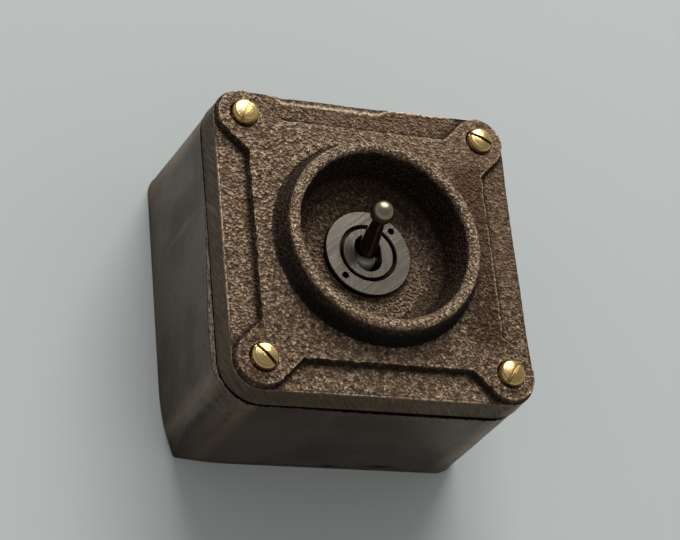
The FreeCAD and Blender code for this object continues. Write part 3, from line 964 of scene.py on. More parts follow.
@dataclass(frozen=True)
class SatinBrass(Finish):
    """Darkened brass rubbed to a satin: faint lines, painted highlight streaks by the corners,
    pits, rubbed corners and near-black painted shade in the joint.
    """

    body: Colour = (0.093, 0.067, 0.045)
    dark: Colour = (0.032, 0.024, 0.016)
    streak_highlight: Colour = (0.195, 0.122, 0.068)
    high: Colour = (0.30, 0.255, 0.195)
    ledge_low: Colour = (0.045, 0.035, 0.026)
    ledge: Colour = (0.37, 0.30, 0.205)
    speck: Colour = (0.02, 0.017, 0.014)
    blot: Colour = (0.03, 0.025, 0.02)

    def material(self) -> Material:
        """Builds the material.

        Returns:
            The material.
        """
        paint = Paint(self.name, self.effects)
        grain, wear = paint.grain(900.0, 38.0), paint.wear(300.0)
        lines = paint.lines((0.0, 0.0, 0.7854), 900.0, 14.0)
        height, mottle = grain["Height"], grain["Mottle"]
        ledge, gap = paint.at("ledge"), paint.at("gap")
        worn = paint.ramp(lines["Lines"], 0.3, 0.7, 0.35, 1.0)
        blots = paint.ramp(paint.noise(paint.where, 210.0, 4.0, 0.65, 8.0), 0.6, 0.68)
        # The last layer, gap, lays near-black painted shade.
        tone = paint.layers(
            self.body, (paint.ramp(mottle, 0.1, 0.9, 0.0, 0.4), self.dark),
            (paint.times(paint.at("streak_highlight"), worn), self.streak_highlight), (paint.at("shade"), self.dark),
            (paint.times(lines["Scratches"], 0.16), self.high),
            (ledge, paint.mix(paint.ramp(height, 0.2, 0.8), self.ledge_low, self.ledge)),
            (paint.times(grain["Specks"], 0.35), self.speck),
            (paint.times(wear["Rubbed"], 0.3), self.high),
            (paint.times(blots, 0.55), self.blot), (gap, UNLIT))
        raised = paint.plus(paint.times(height, 0.25), paint.times(ledge, height))
        return paint.done(raised, 0.00018, {
            "Base Color": tone, "Metallic": paint.times(paint.less(1.0, gap), 0.95),
            "Specular IOR Level": 0.0, "Roughness": paint.ramp(mottle, 0.0, 1.0, 0.34, 0.47),
        })


@dataclass(frozen=True)
class BrushedNickel(Finish):
    """Dulled nickel plate on brass with the lines of a brush and a painted shadow below its face.
    """

    brushing: Brushing = Brushing.SLANTED
    face_z: float = 47.4
    body: Colour = (0.175, 0.152, 0.122)
    dark: Colour = (0.075, 0.064, 0.050)
    grime_and_shade: Colour = (0.010, 0.009, 0.008)

    def material(self) -> Material:
        """Builds the material.

        Returns:
            The material.
        """
        paint = Paint(self.name, self.effects)
        lines = paint.lines((0.0, 0.0, -math.radians(self.brushing.value)), 2300.0, 40.0)["Lines"]
        height = paint.node("ShaderNodeSeparateXYZ", {0: paint.where}).outputs[2]
        # Painted shadow: near-black below the face, where the edge stands proud of what lies under
        # it.
        below = paint.ramp(height, (self.face_z - 0.45) * MM, (self.face_z - 0.15) * MM, 1.0, 0.0)
        mottle = paint.grain(2500.0, 150.0)["Mottle"]
        tone = paint.layers(
            self.body, (paint.ramp(lines, 0.35, 0.65, 0.0, 0.75), self.dark),
            (paint.times(mottle, 0.3), self.dark), (below, self.grime_and_shade))
        return paint.done(lines, 0.000012, {
            "Base Color": tone, "Metallic": 1.0,
            "Roughness": paint.ramp(lines, 0.3, 0.7, 0.24, 0.34),
        })


@dataclass(frozen=True)
class TurnedBrass(Finish):
    """Turned and polished metal with its tarnish, fine marks and, on the screws, painted shade in
    the slot and low on the head.
    """

    body: Colour = (0.76, 0.54, 0.225)
    dark: Colour = (0.34, 0.22, 0.08)
    tarnish: float = 0.4
    gloss: float = 0.2
    slot: Colour = (0.27, 0.17, 0.07)

    def material(self) -> Material:
        """Builds the material.

        Returns:
            The material.
        """
        paint = Paint(self.name, self.effects)
        grain = paint.grain(1300.0, 260.0)
        tone = paint.layers(
            self.body, (paint.times(grain["Mottle"], self.tarnish), self.dark),
            (paint.times(grain["Specks"], 0.5 * self.tarnish), self.dark),
            # Painted shade: darker in the screw's slot and low on its head, down in the
            # counterbore.
            (paint.times(paint.at("slot"), 0.8), self.slot))
        return paint.done(grain["Height"], 0.000012, {
            "Base Color": tone, "Metallic": 1.0,
            "Roughness": paint.ramp(grain["Mottle"], 0.0, 1.0, self.gloss, self.gloss + 0.12),
        })


@dataclass(frozen=True)
class LeverBrass(Finish):
    """Antique brass of the lever: toned ball with a painted dark rim and painted shade near the
    neck, a stem painted nearly black for its dark reflections with a painted highlight streak, and
    a hub painted pale as if lit.
    """

    ball: Colour = (0.36, 0.31, 0.215)
    stem: Colour = (0.135, 0.112, 0.078)
    streak_highlight: Colour = (0.74, 0.60, 0.42)
    hub: Colour = (0.78, 0.75, 0.62)
    grime_and_shade: Colour = (0.040, 0.031, 0.020)
    gloss: float = 0.27

    def material(self) -> Material:
        """Builds the material.

        Returns:
            The material.
        """
        paint = Paint(self.name, self.effects)
        grain, stem, hub = paint.grain(1500.0, 330.0), paint.at("stem"), paint.at("hub")
        # Painted light on the lever: a painted dark rim where the ball turns from view, painted
        # shade low on the ball, the stem painted nearly black for its dark reflections, a painted
        # highlight streak, and the hub painted pale as if lit; the mottle and specks are tarnish.
        facing = paint.node("ShaderNodeLayerWeight", {"Blend": 0.5}).outputs["Facing"]
        tone = paint.layers(
            self.ball, (paint.times(grain["Mottle"], 0.3), self.grime_and_shade),
            (paint.times(paint.math("POWER", facing, 2.2), 0.9), self.grime_and_shade),
            (paint.at("shade"), self.grime_and_shade), (stem, self.stem), (paint.at("streak_highlight"), self.streak_highlight),
            (hub, self.hub),
            (paint.times(grain["Specks"], 0.3), self.grime_and_shade))
        dull = paint.ramp(grain["Mottle"], 0.0, 1.0, self.gloss, self.gloss + 0.1)
        dull = paint.less(paint.plus(dull, paint.times(hub, 0.3)), paint.times(stem, 0.14))
        return paint.done(
            grain["Height"], 0.000014, {"Base Color": tone, "Metallic": 1.0, "Roughness": dull})


@dataclass(frozen=True)
class Moulded(Finish):
    """Moulded insulation with a fine skin and slight mottling."""

    body: Colour = (0.02, 0.019, 0.018)
    dark: Colour = (0.012, 0.011, 0.01)
    dull: float = 0.45

    def material(self) -> Material:
        """Builds the material.

        Returns:
            The material.
        """
        paint = Paint(self.name, self.effects)
        grain = paint.grain(3000.0, 200.0)
        return paint.done(grain["Height"], 0.00003, {
            "Base Color": paint.mix(grain["Mottle"], self.body, self.dark),
            "Roughness": paint.ramp(grain["Mottle"], 0.0, 1.0, self.dull, self.dull + 0.1),
        })


# Pieces


@dataclass
class Lid:
    """Cast lid: leaning rim, raised field with corner lugs, guard ring and dish, in millimetres."""

    half: float = 43.0
    joint_z: float = 44.0
    margin_z: float = 51.2
    field_z: float = 53.3
    floor_z: float = 45.8
    under_z: float = 42.8
    ceiling_z: float = 47.8
    seat_z: float = 51.3
    lean: float = 1.2
    bevel: float = 0.5
    edge: float = 0.4
    corner_edge: float = 0.04
    mouth_corner: float = 11.0
    screw_place: float = 34.0
    field_half: float = 33.6
    lug: float = 7.2
    step_lean: float = 0.5
    guard: float = 28.3
    guard_lean: float = 1.4
    guard_fillet: float = 0.4
    crest_z: float = 60.2
    bead: float = 1.8
    dish: float = 21.8
    dish_fillet: float = 3.5
    bowl: float = 24.8
    pocket_half: float = 38.0
    bush_hole: float = 8.98
    counterbore: float = 3.95
    counterbore_edge: float = 0.25
    screw_hole: float = 2.25
    pitch: float = 0.42
    coarse_pitch: float = 3.0
    ring_points: int = 448
    hole_points: int = 128
    recess_points: int = 72
    chips: Pair = (-25.0, 4.0)

    def build(self, finish: CastBrass, tree: CastSkin) -> Object:
        """Builds and dresses the lid.

        Args:
            finish: what the casting is made of.
            tree: tree that roughens the casting.

        Returns:
            The lid.
        """
        skin = Skin(3)
        foot, hole = self.guard_ring(skin)
        rim, screws = self.face(skin, foot)
        self.underside(skin, rim, hole, screws)
        piece = shown("lid", skin.mesh("lid"))
        put_values(piece.data, self.marks(skin, points_of(piece.data)))
        tree.bake(piece, finish, {
            "Grain Size": 0.0022, "Grain Height": 0.00034, "Pit Size": 0.0032, "Pit Depth": 0.00012,
            "Wave Size": 0.017, "Wave Height": 0.0004, "Seed": 4.0,
        })
        smooth(piece.data, 50.0)
        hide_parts("face_plate")
        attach(piece, Body.HOUSING.value)
        return piece

    def guard_ring(self, skin: Skin) -> Loops:
        """Adds dish floor, dish wall, rounded bead and its foot.

        Args:
            skin: surface to add to.

        Returns:
            The loops where the guard meets the field and where the bush hole ends.
        """
        skin.zone = Zone.BOWL
        fillet, foot = self.dish_fillet, self.guard_fillet
        top = self.guard - self.guard_lean
        bead_z = self.crest_z - self.bead
        rows = [(self.dish - fillet, self.floor_z)]
        rows += rows_round((rows[0][0], self.floor_z + fillet), fillet, -90, 0, self.pitch)
        rows += rows_to(rows[-1], (top - 2 * self.bead, bead_z), self.pitch)
        rows += rows_round((top - self.bead, bead_z), self.bead, 180, 0, self.pitch * 0.8)
        rows += rows_to(rows[-1], (self.guard, self.field_z + foot), self.pitch)
        rows += rows_round((self.guard + foot, self.field_z + foot), foot, 180, 270, 0.2)
        inner, outer = skin.turned(rows, self.ring_points)
        hole = [(self.bush_hole, z) for z in (self.floor_z, self.under_z)]
        rim, bottom = skin.turned(hole, self.hole_points)
        skin.region([inner, rim], self.pitch)
        return outer, bottom

    def face(self, skin: Skin, foot: Array) -> tuple[Array, Sequence[Array]]:
        """Adds the screw recesses, the raised field, the leaning sides and the margins.

        Args:
            skin: surface to add to.
            foot: loop where the guard meets the field.

        Returns:
            The loop where the sides end and those where the screw holes end.
        """
        skin.zone = Zone.HIDDEN
        bore, broken = self.counterbore, self.counterbore_edge
        high, low = self.field_z, self.margin_z
        recess = [
            (bore + broken, high), (bore + 0.08, high - 0.08), (bore, high - broken),
            (bore, self.seat_z), (self.screw_hole, self.seat_z), (self.screw_hole, self.joint_z)]
        rims, ends = zip(*(
            skin.turned(recess, self.recess_points, x, y) for x, y in corners_of(self.screw_place)))
        edge = self.edge
        lean = self.step_lean * (high - edge - low) / (high - low)
        step = [
            (-edge, high), (-0.5 * edge, high - 0.12 * edge), (-0.13 * edge, high - 0.5 * edge),
            (0.0, high - edge)]
        step += rows_to(step[-1], (lean - 0.04, low + 0.3), 0.4)
        step += [(lean + 0.03, low + 0.1), (lean + 0.12, low)]
        skin.zone = Zone.STEP
        top, bottom = skin.bands([(self.field_outline(grow), z) for grow, z in step])
        skin.zone = Zone.FIELD
        skin.region([top, foot, *rims], self.pitch)
        skin.zone = Zone.SIDE
        brink, rim = self.sides(skin)
        skin.zone = Zone.MARGIN
        skin.region([brink, bottom], self.pitch)
        skin.zone = Zone.HIDDEN
        return rim, ends

    def sides(self, skin: Skin) -> Loops:
        """Adds the broken outer edge of the margins and the leaning sides.

        Args:
            skin: surface to add to.

        Returns:
            The loops where the margins end and where the sides end.
        """
        wall = self.half - self.lean
        corner = wall - self.screw_place
        outline = self.section(wall, corner)
        wide, deep = self.edge_break(outline)
        rows = []
        for turn in np.radians(np.linspace(90.0, 0.0, 5)):
            flat = outline + inward(outline) * (wide * (1 - math.cos(turn)))[:, None]
            rows.append((flat, self.margin_z - deep * (1 - math.sin(turn))))
        low_z = self.joint_z + self.bevel
        for share in np.linspace(0.0, 1.0, 13)[1:]:
            rounded = (1 - share) * corner + share * self.mouth_corner
            height = (1 - share) * (self.margin_z - deep) + share * low_z
            rows.append((self.section(wall + share * self.lean, rounded), height))
        for drawn in (0.5 * self.bevel, self.bevel):
            rows.append((self.section(self.half - drawn, self.mouth_corner - drawn), low_z - drawn))
        return skin.bands(rows)

    @staticmethod
    def section(half: float, corner: float) -> Array:
        """Outline of the lid at one height."""
        return square_outline(half, (corner,) * 4, 128, 28)

    def edge_break(self, outline: Array) -> tuple[Array, Array]:
        """Width and depth of the broken outer edge, chipped along the upper side.

        Args:
            outline: outline of the lid under the edge.

        Returns:
            The width and the depth at each point.
        """
        x, y = outline.T
        start, end = self.chips
        at_lug = soft(np.minimum(abs(x), abs(y)), 21.0, 30.5)
        plain = self.edge * (1.0 + 0.35 * ripple(x, y, 5.0)) * (1 - at_lug)
        plain += self.corner_edge * at_lug
        upper = y > self.half - self.lean - 0.1
        chipped = upper * soft(x, start, start + 3.0) * (1 - soft(x, end, end + 6.0))
        notch = bell(x, start + 3.0, 1.8) + 0.5 * bell(x, end - 7.0, 1.2)
        ragged = 0.6 * ripple(x, y, 3.1) + 0.4 * ripple(y, x, 1.9)
        wide = plain + chipped * (1.7 + 0.6 * ragged)
        return wide, plain + chipped * (0.45 + 0.2 * ragged + 0.55 * notch)

    def underside(self, skin: Skin, rim: Array, hole: Array, screws: Sequence[Array]) -> None:
        """Adds rim, pocket and the underside of the bowl.

        Args:
            skin: surface to add to.
            rim: loop where the sides end.
            hole: loop where the bush hole ends.
            screws: loops where the screw holes end.
        """
        edge = bitten_outline(self.pocket_half, self.screw_place, self.lug)
        low, high = skin.bands([(edge, self.joint_z), (edge, self.ceiling_z)])
        skin.region([rim, low, *screws], self.coarse_pitch)
        fillet = self.dish_fillet
        rows = [(self.bowl, self.ceiling_z), (self.bowl, self.under_z + fillet)]
        rows += rows_round((self.bowl - fillet, rows[-1][1]), fillet, 0, -90, 1.0)
        outer, inner = skin.turned(rows, self.hole_points)
        skin.region([high, outer], self.coarse_pitch)
        skin.region([inner, hole], self.coarse_pitch)

    def field_outline(self, grow: float) -> Array:
        """Outline of the raised field: wavy sides, slanted ends and corner lugs.

        Args:
            grow: how far the outline is moved out.

        Returns:
            The points, anticlockwise.
        """
        half = self.field_half + grow
        lug = self.lug + grow
        place = self.screw_place
        side = half - lug * math.sqrt(2)
        near, far = place - lug * math.sqrt(0.5), place + lug * math.sqrt(0.5)
        flat = four_times(np.vstack([
            run((half, -side), (half, side), 116), run((half, side), (far, near), 16),
            arc(place, place, lug, -45, 135, 50), run((near, far), (side, half), 16),
        ]))
        x, y = flat.T
        free = soft(np.hypot(abs(x) - place, abs(y) - place), lug, lug + 4.0)
        return flat + 0.22 * free[:, None] * np.column_stack([ripple(y, x, 7.0), ripple(x, y, 6.1)])

    def marks(self, skin: Skin, points: Array) -> dict[str, Array]:
        """Tells where the skin may move, how rough it is, and where it is dark, ruddy or linished.

        Args:
            skin: surface of the lid.
            points: x, y and z of its points.

        Returns:
            For each mark, its strength at every point.
        """
        x, y, z = points
        zones = (Zone.BOWL, Zone.FIELD, Zone.STEP, Zone.MARGIN, Zone.SIDE)
        bowl, field, step, margin, side = (skin.in_zone(zone) for zone in zones)
        flat = ~bowl & ~side
        radius, far, below = np.hypot(x, y), np.maximum(x, y), self.margin_z - z
        corner = np.hypot(abs(x) - self.screw_place, abs(y) - self.screw_place)
        wall, border, bead_z = self.half - self.lean, self.field_half, self.crest_z - self.bead
        crest = self.guard - self.guard_lean - self.bead
        bore = self.counterbore
        free = ~skin.in_zone(Zone.HIDDEN) * soft(corner, bore + 0.1, bore + 0.8)
        free *= soft(radius, 11.5, 13.0)
        free *= np.where(side, soft(z, self.joint_z + 0.2, self.joint_z + 1.2), 1.0)
        outer_wall = bowl * (radius > crest) * (1 - soft(z, bead_z - 0.2, bead_z + 1.1))
        dish_wall = bowl * (radius < crest) * (1 - soft(z, bead_z - 1.0, bead_z + 1.2))
        wall_low = soft(z, self.floor_z + 0.4, self.floor_z + 3.0)
        # The step walls, painted as shade.
        step_wall = step * soft(self.field_z - z, 0.1, 0.6)
        # A light line along the upper and right edges of the field and along the chip's lip: rubbed
        # wear with a painted highlight.
        worn_edge_and_highlight = step * soft(z, self.field_z - 0.35, self.field_z - 0.1) * (far > border - 1.0)
        # Strip of margin beside the step, painted as shade.
        beyond = margin * (1 - soft(far, border + 0.9, border + 1.9)) * (far > border)
        start, end = self.chips
        chipped = side * (x > start) * (x < end + 4.0)
        chip = chipped * (y > wall - 3.5) * soft(below, 0.004, 0.03)
        lip = chipped * (y > wall - 5.0) * (1 - soft(below, 0.0, 0.03))
        # The round-over along the right side, painted as shade where it turns from the light.
        turned_away = side * soft(x, wall - 0.8, wall - 0.3)
        calm = flat * soft(0.9 * x + y, 2.0, 42.0)
        # Painted shadow on the guard's outer wall, darker low down and towards the bottom, which
        # faces away from the light.
        deep_shade = outer_wall * soft(-y, -6.0, 24.0) * soft(bead_z - z, 0.0, 2.5)
        # Painted shade in the joint with the box.
        joint = side * soft(self.joint_z + self.bevel - z, 0.02, 0.2)
        # blush: darker and redder on the field right of the guard and towards its bottom, towards
        # the upper right of the face, on the outer margins and in the upper left of the dish.
        toned = 0.95 * field * soft(x, 20.0, 28.0) * soft(34.0 - abs(y), 4.0, 12.0)
        toned += 0.32 * field * soft(-y, 8.0, 28.0) + 0.22 * calm + 0.38 * margin * (far > border)
        toned += 0.4 * bowl * (radius < crest - self.bead) * soft(y - 0.4 * x, -6.0, 8.0)
        return {
            "skin": free,
            "rough": np.where(side, 0.12, 1.0) * (1 - 0.5 * outer_wall) * (1 - 0.3 * dish_wall),
            "calm": calm,
            "coarse": ~side * (1 - 0.75 * outer_wall) * (1 - 0.25 * dish_wall) * (1 - 0.4 * calm),
            "linished": side * soft(below, 0.1, 0.7) * (1 - 0.8 * chip),
            # Patina and painted shade: patina with shade on the guard's outer wall and the dish
            # wall, painted shade on the step walls and on the round-over turned from the light, and
            # the dark chips.
            "patina_and_shade": np.maximum.reduce([
                0.94 * outer_wall, dish_wall * (0.14 + 0.79 * wall_low), 0.8 * step_wall,
                0.88 * chip, 0.8 * turned_away]),
            # gap: near-black painted shade in the joint with the box, on the guard's lower outer
            # wall and in the margin strip beside the step.
            "gap": np.maximum.reduce([
                joint, 0.93 * deep_shade, np.where(x > border, 0.72, 0.5) * beyond]),
            "worn_edge_and_highlight": np.maximum(np.where(x > border - 1.0, 0.22, 0.55) * worn_edge_and_highlight, 0.4 * lip),
            "blush": np.minimum(1.0, toned),
        }


@dataclass
class Box:
    """Cast box: leaning sides, posts, cable entry, wall holes and earth boss, in millimetres."""

    half: float = 43.0
    depth: float = 44.0
    lean: float = 0.3
    back_corner: float = 7.5
    sharp_corner: float = 0.9
    mouth_corner: float = 11.0
    back: float = 4.0
    bevel: float = 0.5
    back_edge: float = 0.45
    cavity: float = 39.0
    post: float = 6.0
    screw_place: float = 34.0
    tapping: float = 2.03
    tapping_end: float = 30.0
    cable: float = 10.0
    cable_y: float = 19.0
    fixing: float = 2.5
    fixing_x: float = 30.0
    boss: float = 4.5
    boss_place: float = -24.0
    boss_top: float = 10.0
    boss_hole_end: float = 5.0
    side_points: int = 96
    corner_points: int = 28
    tap_points: int = 28
    boss_points: int = 40

    def build(self, finish: SatinBrass, tree: CastSkin) -> Object:
        """Builds and dresses the box.

        Args:
            finish: what the casting is made of.
            tree: tree that roughens the casting.

        Returns:
            The box.
        """
        skin = Skin(5)
        self.inside(skin, *self.outside(skin))
        piece = shown("box", skin.mesh("box"))
        put_values(piece.data, self.marks(skin, points_of(piece.data)))
        tree.bake(piece, finish, {
            "Grain Size": 0.0011, "Grain Height": 0.00012, "Pit Size": 0.003, "Pit Depth": 0.00016,
            "Wave Size": 0.03, "Wave Height": 0.0005, "Seed": 11.0,
        })
        smooth(piece.data, 50.0)
        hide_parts("back_box")
        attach(piece, Body.HOUSING.value)
        return piece

    def outside(self, skin: Skin) -> Loops:
        """Adds the four sides.

        Args:
            skin: surface to add to.

        Returns:
            The loops at the mouth and at the back.
        """
        wide, edge = self.half + self.lean, self.back_edge
        side = [(self.half - self.bevel, self.depth)]
        side += rows_to(side[-1], (self.half, self.depth - self.bevel), 0.25)
        side += rows_to(side[-1], (self.half, self.depth - 5.0), 0.42)
        side += rows_to(side[-1], (wide, edge), 0.85)
        side += rows_round((wide - edge, edge), edge, 0, -90, 0.2)
        rows = []
        for half, z in side:
            share = z / self.depth
            drawn = wide - half if z < edge else 0.0
            if z > self.back:
                drawn = max(0.0, self.half - half)
            corner, sharp = (
                (1 - share) * back + share * self.mouth_corner - drawn
                for back in (self.back_corner, self.sharp_corner))
            outline = square_outline(
                half, (corner, corner, sharp, corner), self.side_points, self.corner_points)
            rows.append((self.drawn_in(outline, z), z))
        skin.zone = Zone.SIDE
        loops = skin.bands(rows)
        skin.zone = Zone.HIDDEN
        return loops

    @staticmethod
    def drawn_in(flat: Array, z: float) -> Array:
        """Draws the lower left corner in towards the wall, as the casting came out.

        Args:
            flat: outline at one height.
            z: the height.

        Returns:
            The outline.
        """
        x, y = flat.T
        low = max(0.0, 1.0 - z / 36.0) ** 1.3
        left = low * np.clip((-y - 22.0) / 19.0, 0.0, 1.2) ** 2 * soft(-x, 20.0, 40.0)
        under = 0.6 + np.clip((-x - 26.0) / 16.0, 0.0, 1.0) ** 2
        under = low * soft(-y, 30.0, 42.0) * under
        return np.column_stack([x + 2.4 * left, y + under])

    def inside(self, skin: Skin, mouth: Array, foot: Array) -> None:
        """Adds rim, cavity, posts, holes, boss and the wall face.

        Args:
            skin: surface to add to.
            mouth: loop at the mouth.
            foot: loop at the back.
        """
        edge = bitten_outline(self.cavity, self.screw_place, self.post)
        high, low = skin.bands([(edge, self.depth), (edge, self.back)])
        taps = [
            self.blind_hole(skin, x, y, self.depth, self.tapping_end)
            for x, y in corners_of(self.screw_place)]
        skin.region([mouth, high, *taps], 3.0)
        holes, back = [], self.back
        for x, y, radius, count in (
            (0.0, self.cable_y, self.cable, 64),
            (-self.fixing_x, 0.0, self.fixing, 32), (self.fixing_x, 0.0, self.fixing, 32),
        ):
            rows = [(radius + 0.3, 0.0), (radius, 0.3), (radius, back - 0.2), (radius + 0.2, back)]
            holes.append(skin.turned(rows, count, x, y))
        starts, ends = zip(*holes)
        place, crown = self.boss_place, self.boss_top
        boss = [(self.boss, z) for z in (back, crown)]
        bottom, top = skin.turned(boss, self.boss_points, place, place)
        skin.region([low, bottom, *ends], 4.0)
        earth = self.blind_hole(skin, place, place, crown, self.boss_hole_end)
        skin.region([top, earth], 2.0)
        skin.region([foot, *starts], 2.5)

    def blind_hole(self, skin: Skin, x: float, y: float, high: float, low: float) -> Array:
        """Adds a tapped hole.

        Args:
            skin: surface to add to.
            x: place of the hole across.
            y: place of the hole up the wall.
            high: height of its mouth.
            low: height of its end.

        Returns:
            The loop at its mouth.
        """
        rim, end = skin.turned([(self.tapping, z) for z in (high, low)], self.tap_points, x, y)
        skin.cap(end, x, y, low)
        return rim

    def marks(self, skin: Skin, points: Array) -> dict[str, Array]:
        """Tells where the skin may move, how rough it is, where painted highlight streaks lie, and
        where it is dark or painted with shade.

        Args:
            skin: surface of the box.
            points: x, y and z of its points.

        Returns:
            For each mark, its strength at every point.
        """
        x, y, z = points
        outer = skin.in_zone(Zone.SIDE)
        left = soft(-x, self.half - 4.0, self.half - 1.0)
        width = (0.5 + 3.7 * soft(-y, -20.0, 24.0)) * (1 - 0.9 * soft(-y, 28.0, 42.0))
        ledge = left * soft(z - self.depth + width, -0.2, 0.2) * outer
        crack = outer * left * (width > 1.0) * bell(z - self.depth, -width, 0.3)
        centre = self.half - self.mouth_corner
        turn = np.degrees(np.arctan2(abs(y) - centre, abs(x) - centre))
        in_corner = outer * (abs(x) > centre) * (abs(y) > centre)
        low_left = soft(-x, 20.0, 30.0) * soft(-y, 20.0, 30.0)
        under = soft(-y, self.half - 4.0, self.half)
        uneven = 0.55 + 0.4 * ripple(y, x, 2.3) + 0.7 * soft(x, -30.0, 5.0)
        uneven = 0.25 * ripple(x, y, 5.0) + under * uneven
        # Painted shadows: dark marks low on the bottom side, where the back edge stands off the
        # floor.
        back_edge_shadows = bell(x, 3.4, 2.4) * bell(z, 1.9, 0.9) + bell(x, 18.0, 4.8) * bell(z, 3.2, 1.1)
        # Painted shade in the joint under the lid.
        joint = outer * soft(z - self.depth + uneven, -0.8, -0.55)
        return {
            "skin": outer * soft(self.depth - z, 0.05, 0.7) * soft(z, 0.1, 1.2),
            "rough": 0.3 + 0.7 * ledge,
            "ledge": ledge,
            # Painted highlights on each corner's round, either side of its dark band.
            "streak_highlight": in_corner * (bell(turn, 14.0, 11.0) + bell(turn, 76.0, 11.0)),
            "shade": in_corner * bell(turn, 45.0 - 5.0 * low_left, 13.0 - 4.0 * low_left),
            # gap: near-black, painted shade in the joint under the lid and painted shadow under the
            # back edge, and a dark line along the ledge's lower edge.
            "gap": np.maximum.reduce([joint, 0.7 * crack, back_edge_shadows * outer * under]),
        }


def lathe(profile: Sequence[Pair], count: int) -> Skin:
    """Closed turned form.

    Args:
        profile: radius and height of each ring, the first and the last on the axis.
        count: points round each ring.

    Returns:
        The form, about Z.
    """
    skin = Skin()
    first, last = skin.turned(profile[1:-1], count)
    skin.cap(first, 0.0, 0.0, profile[0][1])
    skin.cap(last, 0.0, 0.0, profile[-1][1])
    return skin


@dataclass
class LidScrews:
    """Four cheese-head slotted screws, in millimetres."""

    place: float = 34.0
    shank: float = 2.0
    tip_z: float = 32.0
    seat_z: float = 51.3
    head: float = 3.5
    height: float = 4.1
    edge: float = 1.0
    crown: float = 0.3
    slot_width: float = 0.9
    slot_depth: float = 1.4
    slot_edge: float = 0.09
    points: int = 96
    turns: tuple[float, float, float, float] = (134.0, 65.0, 55.0, 156.0)

    def build(self, finish: TurnedBrass, tree: ScrewSet) -> Object:
        """Builds one screw and sets it in the four corners.

        Args:
            finish: what the screws are made of.
            tree: tree that places them.

        Returns:
            The screws.
        """
        piece = shown("lid_screw_set", lathe(self.profile(), self.points).mesh("lid_screw_set"))
        self.cut_slot(piece)
        _, y, z = points_of(piece.data)
        top = self.seat_z + self.height
        # Slot mark: painted shade in the slot and on the head's lower side and shank.
        in_slot = (abs(y) < self.slot_width / 2 + 0.02) * soft(top - z, 0.1, 0.4)
        in_slot *= z > top - self.slot_depth - 0.1
        put_values(piece.data, {"slot": np.maximum(in_slot, soft(top - z, 2.2, 3.2))})
        turns = dict(zip(tree.corners, map(math.radians, self.turns)))
        tree.bake(piece, finish, {"Spacing": 2 * self.place * MM, **turns})
        smooth(piece.data, 35.0)
        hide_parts("lid_screws")
        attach(piece, Body.HOUSING.value)
        return piece

    def profile(self) -> list[Pair]:
        """Half section from the tip to the top of the crown.

        Returns:
            Radius and height of each ring.
        """
        rim_z = self.seat_z + self.height - self.crown
        rim = self.head - self.edge
        ball = (rim ** 2 + self.crown ** 2) / (2 * self.crown)
        half_turn = math.degrees(math.asin(rim / ball))
        rows = [(0.0, self.tip_z), (self.shank - 0.4, self.tip_z), (self.shank, self.tip_z + 0.4)]
        rows += [(self.shank, self.seat_z), (self.head - 0.1, self.seat_z)]
        rows += [(self.head, self.seat_z + 0.1)]
        rows += rows_to(rows[-1], (self.head, rim_z - self.edge), 0.5)
        rows += rows_round((rim, rim_z - self.edge), self.edge, 0, 90, 0.12)
        return rows + rows_round((0.0, rim_z + self.crown - ball), ball, 90 - half_turn, 90, 0.4)

    def cut_slot(self, piece: Object) -> None:
        """Cuts the driver slot and softens its edges.

        Args:
            piece: the screw.
        """
        high = self.seat_z + self.height + 1.0
        low = self.seat_z + self.height - self.slot_depth
        middle = Matrix.Translation((0.0, 0.0, (low + high) / 2 * MM))
        size = Matrix.Diagonal((4 * self.head * MM, self.slot_width * MM, (high - low) * MM, 1.0))
        tool = bmesh.new()
        bmesh.ops.create_cube(tool, size=1.0, matrix=middle @ size)
        mesh = bpy.data.meshes.new("slot_tool")
        tool.to_mesh(mesh)
        tool.free()
        cutter = shown("slot_tool", mesh)
        cut = piece.modifiers.new("slot", "BOOLEAN")
        cut.operation, cut.solver, cut.object = "DIFFERENCE", "EXACT", cutter
        bevel = piece.modifiers.new("edge", "BEVEL")
        bevel.width, bevel.segments = self.slot_edge * MM, 2
        bevel.limit_method, bevel.angle_limit = "ANGLE", math.radians(38.0)
        settle(piece)
        bpy.data.objects.remove(cutter)
        bpy.data.meshes.remove(mesh)


@dataclass
class Tilted:
    """What lever and spring share: they lean about the lever's pivot, in millimetres."""

    pivot_z: float = 43.2
    tilt: float = 24.0

    def leaning(self, unit: float) -> Matrix:
        """Place of the lever, with the pivot's height in a unit."""
        turn = Matrix.Rotation(-math.radians(self.tilt), 4, "X")
        return Matrix.Translation((0.0, 0.0, self.pivot_z * unit)) @ turn


